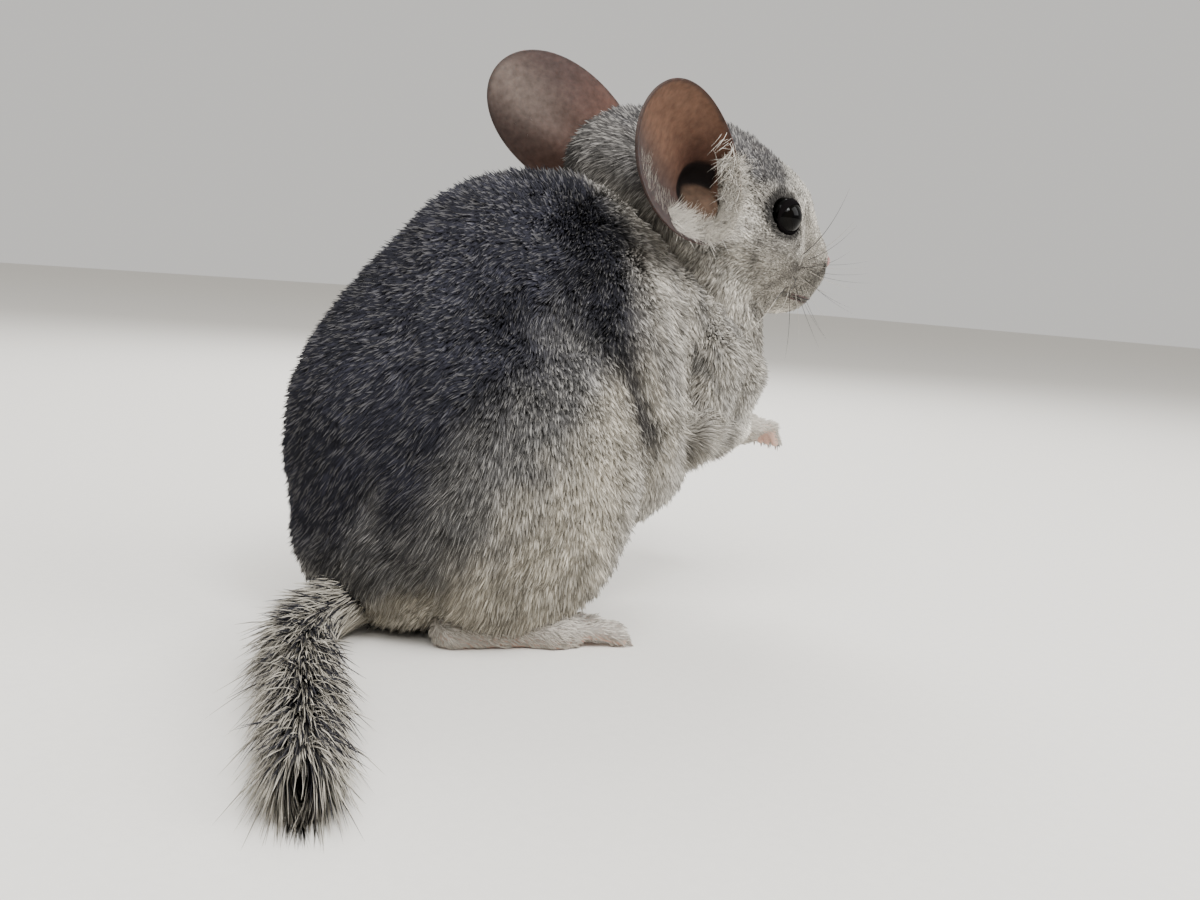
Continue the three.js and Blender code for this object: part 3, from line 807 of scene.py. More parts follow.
@dataclass
class Tufts(Hairs):
    """Many tufts of short hair: where each is rooted, how it lies, its sizes and its colours."""

    roots: Array
    normals: Array
    lies: Array
    lengths: Array
    widths: Array
    lifts: Array
    root_colours: Array
    middle_colours: Array
    tip_colours: Array
    patches: Array

    PATCH = 0.003
    LOWEST = 0.35

    def mesh(self) -> MeshData:
        """Makes each tuft a closed four-sided sliver that is thickest near its root.

        Returns:
            The mesh of all the tufts, with their colours, shading directions and patches.
        """
        rng = np.random.default_rng(5)
        count = len(self.roots)
        lift = self.lifts[:, None]
        direction = unit(self.lies * np.cos(lift) + self.normals * np.sin(lift))
        outward = unit(self.normals - dot(self.normals, direction)[:, None] * direction)
        roll = rng.uniform(-0.5, 0.5, count)[:, None]
        across = np.cross(outward, direction) * np.cos(roll) + outward * np.sin(roll)
        length, half = self.lengths[:, None], self.widths[:, None] / 2
        root = self.roots - self.normals * 0.3
        corners = np.stack([
            root + across * half,
            root - across * half,
            root + direction * length * 0.5 + outward * (length * 0.05 + half * 0.6),
            root + direction * length - outward * length * 0.08,
        ], axis=1)
        corners[..., 2] = np.maximum(corners[..., 2], self.LOWEST)
        shading = np.stack([
            self.normals + across * 0.25,
            self.normals - across * 0.25,
            self.normals + outward * 0.3,
            self.normals + direction * 0.35,
        ], axis=1)
        colours = np.stack(
            [self.root_colours, self.root_colours, self.middle_colours, self.tip_colours], axis=1
        )
        steps = np.array([[-0.5, -0.5], [0.5, -0.5], [0, 0], [0, 0.5]]) * self.PATCH
        template = np.array([[0, 3, 1], [0, 2, 3], [1, 3, 2], [0, 1, 2]])
        faces = (np.arange(count)[:, None, None] * 4 + template).reshape(-1, 3)
        return MeshData(
            corners.reshape(-1, 3),
            [faces],
            colours.reshape(-1, 3),
            unit(shading).reshape(-1, 3),
            (self.patches[:, None, :] + steps).reshape(-1, 2),
        )


@dataclass(frozen=True)
class Skin:
    """The one skin of the animal, from which the whole coat grows."""

    cell: float = 1.7

    FLESH = (
        "torso", "neck", "head", "haunch_left", "haunch_right", "foreleg_left", "foreleg_right",
    )

    def build(self) -> MeshData:
        """Nets the skin and gives it the markings, darkened by half as painted shade under the coat.

        Returns:
            The skin, with its colours and outward directions.
        """
        corners, quads = net_surface(
            ANATOMY.skin, np.array([-60.0, -134, -2]), np.array([60.0, 70, 168]), self.cell
        )
        normals = unit(gradient(ANATOMY.skin, corners))
        # Painted shade: the skin takes half the coat's colour, as in shadow under the tufts.
        colours = MARKINGS.colour(corners, normals) * 0.5
        return MeshData(corners, [quads], colours, normals)

    def dress(self, data: MeshData) -> bpy.types.Object:
        """Makes the skin's piece.

        Args:
            data: The skin's mesh.

        Returns:
            The piece.
        """
        plain = MeshData(data.corners, data.faces, data.colours)
        piece = make_piece("skin", plain, SKIN.make())
        hand_over(piece, Slot.COAT, *self.FLESH)
        return piece


@dataclass(frozen=True)
class Coat:
    """The dense short coat of the body and head, tuft by tuft."""

    tufts: int = 325000
    piece_limit: int = 47000
    body_length: float = 6.0
    nape_length: float = 5.0
    muzzle_length: float = 1.7
    body_width: float = 0.46
    face_width: float = 0.36

    TRUNK_LIE = unit(at(-0.5, 0, -0.87))

    def density(self, points: Array) -> Array:
        """Gives how densely the tufts stand, more so where they are short.

        Args:
            points: Places on the skin.

        Returns:
            The density, 1 on the body and 0 where none stand.
        """
        forward, _, _ = HEAD.local(points)
        on_head = mix(1.3, 2.6, smooth(-25, 20, forward))
        density = mix(np.ones(len(points)), on_head, ANATOMY.headness(points))
        for name in SIDES:
            low, high = solid_box("eye_" + name)
            centre, radius = (low + high) / 2, (high[0] - low[0]) / 2
            density = density * (np.linalg.norm(points - centre, axis=-1) > radius + 0.1)
        tip = HEAD.point(37, 0, -9)
        density = density * (np.linalg.norm(points - tip, axis=-1) > 3)
        return density

    def draw_roots(self, data: MeshData) -> tuple[Array, Array]:
        """Draws places over the skin, spread by the density.

        Args:
            data: The skin, with its normals.

        Returns:
            The places, and the skin's outward directions there.
        """
        rng = np.random.default_rng(3)
        quads = data.faces[0]
        triangles = np.concatenate([quads[:, [0, 1, 2]], quads[:, [0, 2, 3]]])
        a, b, c = (data.corners[triangles[:, i]] for i in range(3))
        areas = np.linalg.norm(np.cross(b - a, c - a), axis=-1) / 2
        weights = areas * self.density((a + b + c) / 3)
        ends = np.cumsum(weights)
        picks = (np.arange(self.tufts) + rng.random(self.tufts)) * ends[-1] / self.tufts
        picked = triangles[np.minimum(np.searchsorted(ends, picks), len(triangles) - 1)]
        u, v = rng.random(self.tufts), rng.random(self.tufts)
        flip = u + v > 1
        u, v = np.where(flip, 1 - u, u), np.where(flip, 1 - v, v)
        shares = np.stack([1 - u - v, u, v], axis=-1)[..., None]
        roots = np.sum(data.corners[picked] * shares, axis=1)
        return roots, unit(np.sum(data.normals[picked] * shares, axis=1))

    def lie(self, roots: Array, normals: Array, noise: Noise) -> Array:
        """Gives the way the coat lies: back over the head, and down and back over the body.

        Args:
            roots: Where the tufts stand.
            normals: The outward directions there.
            noise: What makes the coat uneven.

        Returns:
            Directions along the skin, of length one.
        """
        _, left, _ = HEAD.local(roots)
        outwards = np.clip(left / 20, -1, 1)[:, None]
        head_lie = HEAD.direction(-1, 0, -0.25) + outwards * HEAD.direction(0, 0.35, 0)
        guide = tint(self.TRUNK_LIE, head_lie, ANATOMY.headness(roots))
        for side in SIDES.values():
            leg = ANATOMY.foreleg(side).forms[1]
            near = smooth(13, 6, leg.distance(roots) + 8)
            guide = tint(guide, unit(leg.end - leg.start), near * 0.8)
            away = roots - ANATOMY.eye(side)
            near = smooth(14, 6, np.linalg.norm(away, axis=-1))
            guide = guide + unit(away) * near[:, None] * 0.8
        guide = guide + 0.35 * noise.vector(roots, 16) + 0.3 * noise.vector(roots, 4)
        return unit(guide - dot(guide, normals)[:, None] * normals)

    def grow(self, data: MeshData) -> Tufts:
        """Grows the tufts of the whole coat on the skin.

        Args:
            data: The skin's mesh.

        Returns:
            The tufts.
        """
        rng = np.random.default_rng(8)
        noise = Noise(21)
        roots, normals = self.draw_roots(data)
        count = len(roots)
        headness = ANATOMY.headness(roots)
        forward, _, _ = HEAD.local(roots)
        on_face = smooth(-20, 24, forward)
        depth = ANATOMY.depth(roots)
        head_length = mix(self.nape_length, self.muzzle_length, on_face)
        lengths = mix(np.full(count, self.body_length), head_length, headness)
        lengths = np.minimum(lengths, depth * 1.6 + 0.6) * rng.uniform(0.7, 1.2, count)
        widths = mix(self.body_width, self.face_width, headness * mix(0.4, 1.0, on_face))
        widths = widths * rng.uniform(0.7, 1.3, count)
        lifts = np.radians(mix(45.0, 24.0, headness * on_face) + rng.normal(0, 9, count))
        lifts += 0.2 * noise.level(roots, 4) + 0.12 * noise.level(roots, 9)
        middle = MARKINGS.colour(roots, normals)
        mottle = 0.34 * noise.level(roots, 6) + 0.3 * noise.level(roots, 2.2) + 0.12 * noise.level(roots, 14)
        middle = middle * np.exp(rng.normal(0, 0.24, count) + mottle)[:, None]
        lightness = smooth(0.01, 0.16, np.mean(middle, axis=-1))
        pale = rng.random(count) < mix(0.26, 0.36, lightness)
        dark_tip = middle * mix(0.6, 0.42, lightness)[:, None]
        pale_tip = tint(middle * 1.2, Palette.PALE_TIP, mix(0.16, 0.42, lightness))
        tips = np.where(pale[:, None], pale_tip, dark_tip)
        return Tufts(
            roots, normals, self.lie(roots, normals, noise), lengths, widths, lifts,
            middle * 0.45, middle, tips, octahedral(unit(roots - at(30, 0, 75))),
        )

    def region(self, roots: Array) -> Array:
        """Gives the name of the body part that each root is on.

        Args:
            roots: Where the tufts stand.

        Returns:
            The name of a solid for each root.
        """
        height = ANATOMY.above_fold(roots)
        names = np.where(height > ANATOMY.NECK_DEPTH, "head", np.where(height > 0, "neck", "torso"))
        for name, side in SIDES.items():
            on_haunch = (ANATOMY.haunch(side).distance(roots) > -9) & (height < 0)
            on_haunch &= (roots[:, 0] * side > 26) & (roots[:, 1] > -38) & (roots[:, 1] < 44)
            names = np.where(on_haunch & (roots[:, 2] < 92), "haunch_" + name, names)
            on_leg = ANATOMY.foreleg(side).distance(roots) < 0.5
            names = np.where(on_leg & (height < 0), "foreleg_" + name, names)
        return names

    def dress(self, data: MeshData) -> None:
        """Makes the pieces of the coat, parted by body part and by the turn round the body.

        Args:
            data: The skin's mesh.
        """
        tufts = self.grow(data)
        material = FUR.make()
        names = self.region(tufts.roots)
        turn = np.arctan2(tufts.roots[:, 0], tufts.roots[:, 1])
        for name in sorted(set(names)):
            members = np.flatnonzero(names == name)
            members = members[np.argsort(turn[members])]
            parts = math.ceil(len(members) / self.piece_limit)
            for number, part in enumerate(np.array_split(members, parts), 1):
                label = f"coat_{name}_{number}" if parts > 1 else f"coat_{name}"
                chosen = tufts.chosen(part)
                centre = np.mean(chosen.roots, axis=0) - np.mean(chosen.normals, axis=0) * 20
                chosen.patches = octahedral(unit(chosen.roots - centre))
                hand_over(make_piece(label, chosen.mesh(), material), Slot.COAT, name)


@dataclass
class Strands(Hairs):
    """Long single hairs: tapered three-sided rods that bend over along their length."""

    roots: Array
    directions: Array
    outwards: Array
    lengths: Array
    widths: Array
    bends: Array
    root_colours: Array
    tip_colours: Array
    patches: Array

    RINGS = 3
    PATCH = 0.003
    LOWEST = 0.3

    def mesh(self) -> MeshData:
        """Makes the mesh of all the hairs, each closed at both ends.

        Returns:
            The mesh, with its colours, shading directions and patches.
        """
        count = len(self.roots)
        across = unit(np.cross(self.outwards, self.directions))
        outward = np.cross(self.directions, across)
        shares = np.arange(self.RINGS) / self.RINGS
        corners, colours, shading, patches = [], [], [], []
        for share in shares:
            length = self.lengths[:, None]
            middle = self.roots + self.directions * length * share
            middle = middle - outward * length * self.bends[:, None] * share**2
            radius = self.widths[:, None] / 2 * (1 - share) ** 0.7
            for turn in np.radians([90, 210, 330]):
                rim = across * math.cos(turn) + outward * math.sin(turn)
                corners.append(middle + rim * radius)
                colours.append(mix(self.root_colours, self.tip_colours, np.array(share)))
                shading.append(unit(outward * 0.7 + rim * 0.5))
                patches.append(self.patches + np.array([math.cos(turn) / 2, share - 0.5]) * self.PATCH)
        tip = self.roots + self.directions * self.lengths[:, None]
        corners.append(tip - outward * self.lengths[:, None] * self.bends[:, None])
        colours.append(self.tip_colours)
        shading.append(unit(outward + self.directions))
        patches.append(self.patches + np.array([0, 0.5]) * self.PATCH)
        faces = [[0, 2, 1]]
        for ring in range(self.RINGS - 1):
            for n in range(3):
                a, b = ring * 3 + n, ring * 3 + (n + 1) % 3
                faces += [[a, b, b + 3], [a, b + 3, a + 3]]
        last = (self.RINGS - 1) * 3
        faces += [[last + n, last + (n + 1) % 3, last + 3] for n in range(3)]
        per_strand = len(corners)
        places = np.stack(corners, axis=1)
        places[..., 2] = np.maximum(places[..., 2], self.LOWEST)
        faces = (np.arange(count)[:, None, None] * per_strand + np.array(faces)).reshape(-1, 3)
        return MeshData(
            places.reshape(-1, 3),
            [faces],
            np.stack(colours, axis=1).reshape(-1, 3),
            np.stack(shading, axis=1).reshape(-1, 3),
            np.stack(patches, axis=1).reshape(-1, 2),
        )


@dataclass(frozen=True)
class Ear:
    """An ear: a thin oval bowl of bare skin with a rolled rim, a canal and a lobe before it."""

    name: str
    root: tuple[float, float, float]
    axis: tuple[float, float, float]
    hollow: tuple[float, float, float]
    length: float = 62
    width: float = 37
    thickness: float = 1.1
    root_depth: float = 13
    tip_depth: float = 5
    rings: int = 40
    spokes: int = 120

    def frame(self) -> tuple[Array, Array, Array, Array]:
        """Gives the root, and the directions along the ear, into its hollow and towards its front rim.

        Returns:
            The root and three directions of length one.
        """
        axis = unit(HEAD.direction(*self.axis))
        hollow = HEAD.direction(*self.hollow)
        hollow = unit(hollow - (hollow @ axis) * axis)
        return HEAD.point(*self.root), axis, hollow, np.cross(axis, hollow)

    def front(self, width: Array) -> Array:
        """Gives the share of the half width towards the front rim."""
        return -SIDES[self.name] * width

    def lobe(self, height: Array, front: Array) -> Array:
        """Gives how far a place is from the middle of the lobe, which ends at 1."""
        return np.sqrt(((height - 0.17) / 0.1) ** 2 + ((front + 0.05) / 0.34) ** 2)

    def relief(self, height: Array, front: Array, inner: bool) -> Array:
        """Gives how far the sheet stands out of the plain bowl, in millimetres.

        Args:
            height: The share of the ear's length, from its root.
            front: The share of its half width, 1 at the front rim.
            inner: Whether this is the hollow side.

        Returns:
            The relief at each place.
        """
        folds = 0.35 * np.sin(front * 9 + height * 3) * smooth(0.95, 0.5, height)
        canal = np.exp(-(((height - 0.27) / 0.08) ** 2) - ((front - 0.16) / 0.28) ** 2)
        relief = folds - 4.2 * canal
        if inner:
            relief = relief + 4.6 * smooth(1.1, 0.35, self.lobe(height, front))
        return relief

    def sheet(self, share: Array, angle: Array, lift: float, inner: bool) -> tuple[Array, Array, Array]:
        """Places points of one side of the ear.

        Args:
            share: 0 at the middle of the ear and 1 at its rim.
            angle: The turn round the ear, in radians.
            lift: How far the side stands from the middle of the ear's thickness.
            inner: Whether this is the hollow side.

        Returns:
            The points, the share of the length and the share towards the front rim.
        """
        root, axis, hollow, across = self.frame()
        height = self.length / 2 * (1 + share * np.sin(angle))
        wide = self.width / 2 * share * np.cos(angle) * (1 + 0.1 * np.sin(angle))
        bowl = self.root_depth + (self.tip_depth - self.root_depth) * height / self.length
        front = self.front(wide / (self.width / 2))
        along, keep = height / self.length, 1 - share**8
        out = lift - bowl * (1 - share**2.5) + self.relief(along, front, inner) * keep
        out = out + 0.5 * smooth(0.86, 1.0, share)
        place = root + np.multiply.outer(height, axis) + np.multiply.outer(wide, across)
        return place + np.multiply.outer(out, hollow), along, front

    def colour(self, height: Array, front: Array, share: Array, inner: bool) -> Array:
        """Gives the colour of the ear: warm where light shines through, dark at the rim, with painted shade
        deep in the hollow and in the canal.

        Args:
            height: The share of the ear's length, from its root.
            front: The share of its half width, 1 at the front rim.
            share: 0 at the middle of the ear and 1 at its rim.
            inner: Whether this is the hollow side.

        Returns:
            Linear colours.
        """
        if not inner:
            colour = tint(Palette.EAR_BACK, Palette.EAR_BACK_GLOW, smooth(0.8, 0.15, height))
            bloom = smooth(0.3, 0.85, height) * np.exp(-(((front + 0.1) / 0.45) ** 2))
            colour = tint(colour, Palette.EAR_BLOOM, bloom * 0.32)
            return tint(colour, Palette.EAR_RIM, smooth(0.94, 1, share) * 0.6)
        warm = smooth(-0.35, 0.35, front + 0.3 * height)
        colour = tint(Palette.EAR_REAR, Palette.EAR_GLOW, warm)
        # Painted shade: darker deep in the bowl of the hollow.
        deep = np.exp(-(((height - 0.36) / 0.17) ** 2) - ((front - 0.4) / 0.55) ** 2)
        colour = tint(colour, Palette.EAR_DEEP, np.minimum(deep, 1) * 0.8)
        # Painted shade: near-black in the recess of the canal.
        canal = np.exp(-(((height - 0.26) / 0.1) ** 2) - ((front - 0.18) / 0.4) ** 2)
        colour = tint(colour, Palette.HOLLOW_SHADE, smooth(0.3, 0.46, canal))
        colour = tint(colour, Palette.LOBE, smooth(1.05, 0.85, self.lobe(height, front)))
        return tint(colour, Palette.EAR_RIM, smooth(0.93, 0.99, share) * 0.8)

    def build(self) -> MeshData:
        """Makes both sides of the ear and the round rim between them.

        Returns:
            The ear's mesh.
        """
        turns = np.arange(self.spokes) / self.spokes * 2 * math.pi
        shares = (np.arange(1, self.rings + 1) / self.rings) ** 0.8
        corners, colours = [], []
        for inner, lift in ((True, self.thickness / 2), (False, -self.thickness / 2)):
            place, height, front = self.sheet(np.zeros(1), np.zeros(1), lift, inner)
            corners.append(place)
            colours.append(self.colour(height, front, np.zeros(1), inner))
            for share in shares:
                narrowed = np.full(self.spokes, share * (0.985 if share == shares[-1] else 1.0))
                place, height, front = self.sheet(narrowed, turns, lift, inner)
                corners.append(place)
                colours.append(self.colour(height, front, narrowed, inner))
        place, height, front = self.sheet(np.ones(self.spokes), turns, 0.0, True)
        corners.append(place)
        colours.append(self.colour(height, front, np.ones(self.spokes), False))
        return MeshData(np.concatenate(corners), self.faces(), np.concatenate(colours))

    def faces(self) -> list[Array]:
        """Links the corners of the two sides and of the rim.

        Returns:
            The triangles, and the faces of four sides.
        """
        side = 1 + self.rings * self.spokes
        rim = 2 * side
        around = np.arange(self.spokes)
        after = (around + 1) % self.spokes
        triangles, quads = [], []
        for start, flip in ((0, False), (side, True)):
            fan = np.stack([np.full(self.spokes, start), start + 1 + around, start + 1 + after], axis=-1)
            triangles.append(fan[:, ::-1] if flip else fan)
            for ring in range(self.rings - 1):
                base = start + 1 + ring * self.spokes
                block = np.stack(
                    [base + around, base + self.spokes + around, base + self.spokes + after, base + after],
                    axis=-1,
                )
                quads.append(block[:, ::-1] if flip else block)
        inner = 1 + (self.rings - 1) * self.spokes
        outer = side + inner
        quads.append(np.stack([inner + around, rim + around, rim + after, inner + after], axis=-1))
        quads.append(np.stack([rim + around, outer + around, outer + after, rim + after], axis=-1))
        return [np.concatenate(triangles), np.concatenate(quads)]

    def fringe(self) -> Strands:
        """Grows the white hairs before the canal and along the front rim, and a short pale fuzz in the
        hollow.

        Returns:
            The hairs.
        """
        rng = np.random.default_rng(40 + SIDES[self.name])
        _, axis, hollow, across = self.frame()
        ahead = -SIDES[self.name] * across
        groups = [
            (2300, (228, 328), (0.8, 0.98), 7.0, (0.3, 0.75, 0.1), Palette.WHITE_HAIR),
            (800, (198, 238), (0.64, 0.94), 6.0, (-0.1, 0.6, 0.3), Palette.WHITE_HAIR),
            (75, (296, 350), (0.88, 0.98), 9.0, (0.3, 0.3, -0.95), Palette.WHITE_HAIR),
            (190, (128, 216), (0.42, 0.78), 3.0, (0.7, 0.15, 0.7), Palette.SHOULDER),
        ]
        parts = []
        for count, turns, shares, length, leaning, colour in groups:
            angle = np.radians(rng.uniform(*turns, count))
            if SIDES[self.name] > 0:
                angle = math.pi - angle
            share = rng.uniform(*shares, count)
            place, _, _ = self.sheet(share, angle, self.thickness / 2, inner=True)
            lean = leaning[0] * axis + leaning[1] * hollow + leaning[2] * ahead
            direction = unit(lean + rng.normal(0, 0.28, (count, 3)))
            shade = colour * rng.uniform(0.75, 1.05, count)[:, None]
            reach = np.full(count, length) * rng.uniform(0.5, 1.1, count)
            parts.append((place, direction, reach, np.minimum(0.04 + reach * 0.014, 0.16), shade))
        roots, directions, lengths, widths, shades = (np.concatenate(group) for group in zip(*parts))
        outwards = unit(np.broadcast_to(hollow, roots.shape) + rng.normal(0, 0.2, roots.shape))
        return Strands(
            roots, directions, outwards, lengths, widths, np.full(len(roots), 0.2),
            shades * 0.85, shades, octahedral(unit(roots - self.frame()[0] + 0.01)),
        )

    def dress(self) -> None:
        """Makes the ear and its hairs."""
        ear = make_piece("ear_skin_" + self.name, self.build(), EAR_SKIN.make())
        hand_over(ear, Slot.EAR, "ear_" + self.name)
        fringe = make_piece("ear_fringe_" + self.name, self.fringe().mesh(), FUR.make())
        hand_over(fringe, Slot.COAT)


EARS = (
    Ear("left", (-21.5, 22.5, -12), (-0.937, 0.255, 0.241), (0.28, 0.96, 0.05)),
    Ear("right", (-12.5, -32.5, -10), (-0.88, -0.38, 0.286), (0.44, -0.88, 0.18)),
)


@dataclass(frozen=True)
class Eye:
    """An eye: a wet dark ball with a bulging cornea, held in a dark lid."""

    name: str
    opening: float = 56
    lid_reach: float = 68
    lid_thickness: float = 0.4
    rings: int = 40
    spokes: int = 64

    PUPIL = linear("#010101")
    IRIS = linear("#040302")

    def ball(self) -> tuple[Array, float]:
        """Gives the centre and radius of the solid's eye."""
        low, high = solid_box("eye_" + self.name)
        return (low + high) / 2, float(np.max(high - low)) / 2

    def axes(self) -> tuple[Array, Array, Array]:
        """Gives the direction of sight and two directions square to it, the second one up.

        Returns:
            Three directions of length one.
        """
        sight = unit(HEAD.direction(0.35, SIDES[self.name] * 0.9, 0.22))
        sideways = unit(np.cross(HEAD.direction(0, 0, 1), sight))
        return sight, sideways, np.cross(sight, sideways)

    def shell(self, polar: Array, turn: Array, radius: Array) -> Array:
        """Places points round the eye, by their angle from the direction of sight and their turn.

        Args:
            polar: The angle of each point from the direction of sight.
            turn: The turn of each point round that direction.
            radius: The distance of each point from the eye's centre.

        Returns:
            The points.
        """
        sight, sideways, upward = self.axes()
        centre, _ = self.ball()
        ring = np.multiply.outer(np.cos(turn), sideways) + np.multiply.outer(np.sin(turn), upward)
        direction = sight * np.cos(polar)[:, None] + ring * np.sin(polar)[:, None]
        return centre + direction * radius[:, None]

    def grid(self, rows: list[tuple[Array, Array]]) -> list[Array]:
        """Links rows of points round the eye, each row to the next.

        Args:
            rows: The rows, of which only the number counts.

        Returns:
            The faces, row by row.
        """
        around = np.arange(self.spokes)
        after = (around + 1) % self.spokes
        quads = []
        for row in range(len(rows) - 1):
            a, b = row * self.spokes, (row + 1) * self.spokes
            quads.append(np.stack([a + around, b + around, b + after, a + after], axis=-1))
        return quads

    def build_ball(self) -> MeshData:
        """Makes the eyeball, with a clear bulge before the pupil.

        Returns:
            The mesh of the ball.
        """
        _, radius = self.ball()
        polars = np.linspace(0, math.pi, self.rings + 1)
        turns = np.arange(self.spokes) / self.spokes * 2 * math.pi
        corners, colours = [], []
        for polar in polars:
            swelling = 1 + 0.035 * math.exp(-((polar / 0.6) ** 2))
            row = np.full(self.spokes, max(min(polar, math.pi - 1e-3), 1e-3))
            corners.append(self.shell(row, turns, np.full(self.spokes, radius * swelling * 0.99)))
            iris = smooth(0.42, 0.5, np.array(polar)) * smooth(1.0, 0.8, np.array(polar))
            colours.append(np.tile(tint(self.PUPIL, self.IRIS, iris), (self.spokes, 1)))
        faces = self.grid([(polar, turns) for polar in polars])
        return MeshData(np.concatenate(corners), [np.concatenate(faces)], np.concatenate(colours))

    def build_lid(self) -> MeshData:
        """Makes the lid: a band over the ball with a round edge, pinched to a corner at each side.

        Returns:
            The mesh of the lid.
        """
        _, radius = self.ball()
        turns = np.arange(self.spokes) / self.spokes * 2 * math.pi
        slant = turns + 0.5 * SIDES[self.name]
        edge = np.radians(self.opening) * (1 + 0.1 * np.cos(slant) ** 8 - 0.2 * np.abs(np.sin(slant)) ** 1.5)
        reach = math.radians(self.lid_reach)
        rows = []
        for share in np.linspace(0, 1, 8):
            height = self.lid_thickness * (0.35 + 0.65 * math.sin(math.pi * min(share * 2, 1) / 2))
            rows.append((edge + (reach - edge) * share, radius + height))
        for share in np.linspace(1, 0, 6):
            rows.append((edge + (reach - edge) * share, radius + 0.02))
        corners = [self.shell(polar, turns, np.full(self.spokes, r)) for polar, r in rows]
        faces = np.concatenate(self.grid(rows))
        closing = np.stack([
            (len(rows) - 1) * self.spokes + np.arange(self.spokes),
            np.arange(self.spokes),
            (np.arange(self.spokes) + 1) % self.spokes,
            (len(rows) - 1) * self.spokes + (np.arange(self.spokes) + 1) % self.spokes,
        ], axis=-1)
        total = len(rows) * self.spokes
        colours = np.tile(Palette.EYE_RIM * 0.5, (total, 1))
        return MeshData(np.concatenate(corners), [np.concatenate([faces, closing])], colours)

    def dress(self) -> None:
        """Makes the ball and its lid."""
        ball = make_piece("eyeball_" + self.name, self.build_ball(), EYE_WET.make())
        hand_over(ball, Slot.EYE, "eye_" + self.name)
        lid = make_piece("eyelid_" + self.name, self.build_lid(), LID_SKIN.make())
        hand_over(lid, Slot.EAR)


@dataclass(frozen=True)
class Nose:
    """The bare nose pad with its two slanting nostrils, and the cleft below it."""

    cell: float = 0.3

    def tip(self) -> Array:
        """Gives the place on the outline of the muzzle that the nose sits on.

        Returns:
            The place.
        """
        outline = ANATOMY.outline()
        steps = HEAD.point(20, 0, -3) + np.arange(0, 40, 0.1)[:, None] * HEAD.direction(1, 0, 0)
        return steps[np.argmax(outline.distance(steps) > 0)]

    def form(self, points: Array) -> Array:
        """Gives the distance of each point from the nose pad, with the nostrils cut in.

        Args:
            points: Places near the nose.

        Returns:
            One distance for each point.
        """
        tip = self.tip()

        def near(forward: float, left: float, up: float) -> Array:
            """Gives a place near the tip."""
            return tip + HEAD.direction(forward, left, up)

        pad = Blend(1.2, (
            Mass(near(-1.2, 0, 0.3), np.array([3.3, 2.4, 2.2]), HEAD.turn),
            Mass(near(-0.8, 1.7, -0.3), np.array([1.6, 1.7, 1.7]), HEAD.turn),
            Mass(near(-0.8, -1.7, -0.3), np.array([1.6, 1.7, 1.7]), HEAD.turn),
            Limb(near(-0.4, 0, -1), 1.0, near(-1.6, 0, -5), 0.7),
        ))
        distance = pad.distance(points)
        for side in SIDES.values():
            slant = HEAD.turn @ turn_about(at(1, 0, 0), side * 35)
            slit = Mass(near(0.9, side * 1.9, -0.5), np.array([0.95, 1.3, 0.42]), slant)
            distance = np.maximum(distance, -slit.distance(points))
        cleft = Limb(near(0.9, 0, -0.3), 0.28, near(-0.3, 0, -5.2), 0.3)
        return np.maximum(distance, -cleft.distance(points))

    def dress(self) -> None:
        """Makes the nose pad."""
        tip = self.tip()
        corners, quads = net_surface(self.form, tip - 7, tip + 7, self.cell)
        # Painted shade: the pad darkens to 0.35 further back from its tip, into the nostrils and where it
        # meets the muzzle.
        depth = dot(corners - tip, HEAD.direction(1, 0, 0))
        colours = tint(Palette.NOSE * 0.35, Palette.NOSE, smooth(-1.6, 0.4, depth))
        piece = make_piece("nose", MeshData(corners, [quads], colours), PAW_SKIN.make())
        hand_over(piece, Slot.PAW)


@dataclass(frozen=True)
class Lips:
    """The lips: two soft rolls round the front of the muzzle, with the line of the mouth between."""

    forward: float = 26
    up: float = -17.5
    half_angle: float = 62
    joints: int = 12
    radius: float = 0.6
    cell: float = 0.3

    def line(self, rise: float, inset: float) -> Array:
        """Gives points along the muzzle at a height above or below the line of the mouth.

        Args:
            rise: How far above the line of the mouth.
            inset: How deep under the outline.

        Returns:
            The points, from the right to the left.
        """
        outline = ANATOMY.outline()
        start = HEAD.point(self.forward, 0, self.up + rise)
        found = []
        for angle in np.radians(np.linspace(-self.half_angle, self.half_angle, self.joints)):
            sag = 0.13 * (angle / math.radians(self.half_angle)) ** 2
            way = unit(HEAD.direction(math.cos(angle), math.sin(angle), -sag))
            steps = start + np.arange(0, 30, 0.05)[:, None] * way
            found.append(steps[np.argmax(outline.distance(steps) > -inset)])
        return np.array(found)

    def chain(self, points: Array, radius: float) -> Blend:
        """Makes a round cord through points, thinner at its ends.

        Args:
            points: Places along the cord.
            radius: Its radius in the middle.

        Returns:
            The cord.
        """
        taper = radius * (1 - 0.5 * np.abs(np.linspace(-1, 1, len(points))) ** 3)
        pairs = zip(points[:-1], taper[:-1], points[1:], taper[1:])
        return Blend(0.3, tuple(Limb(a, ra, b, rb) for a, ra, b, rb in pairs))

    def dress(self) -> None:
        """Makes the lips."""
        upper = self.chain(self.line(0.7, 0.45), self.radius)
        lower = self.chain(self.line(-0.7, 0.6), self.radius)
        gap = self.chain(self.line(0, 0), 0.3)

        def distance(points: Array) -> Array:
            """Gives the distance of each point from the lips."""
            return np.maximum(Blend(0.6, (upper, lower)).distance(points), -gap.distance(points))

        middle = self.line(0, 0)
        low, high = np.min(middle, axis=0) - 3, np.max(middle, axis=0) + 3
        corners, quads = net_surface(distance, low, high, self.cell)
        # Painted shade: near-black in the slit of the mouth between the lips.
        colours = tint(Palette.LIP, Palette.HOLLOW_SHADE, smooth(0.9, 0.2, gap.distance(corners)))
        piece = make_piece("lips", MeshData(corners, [quads], colours), PAW_SKIN.make())
        hand_over(piece, Slot.PAW)


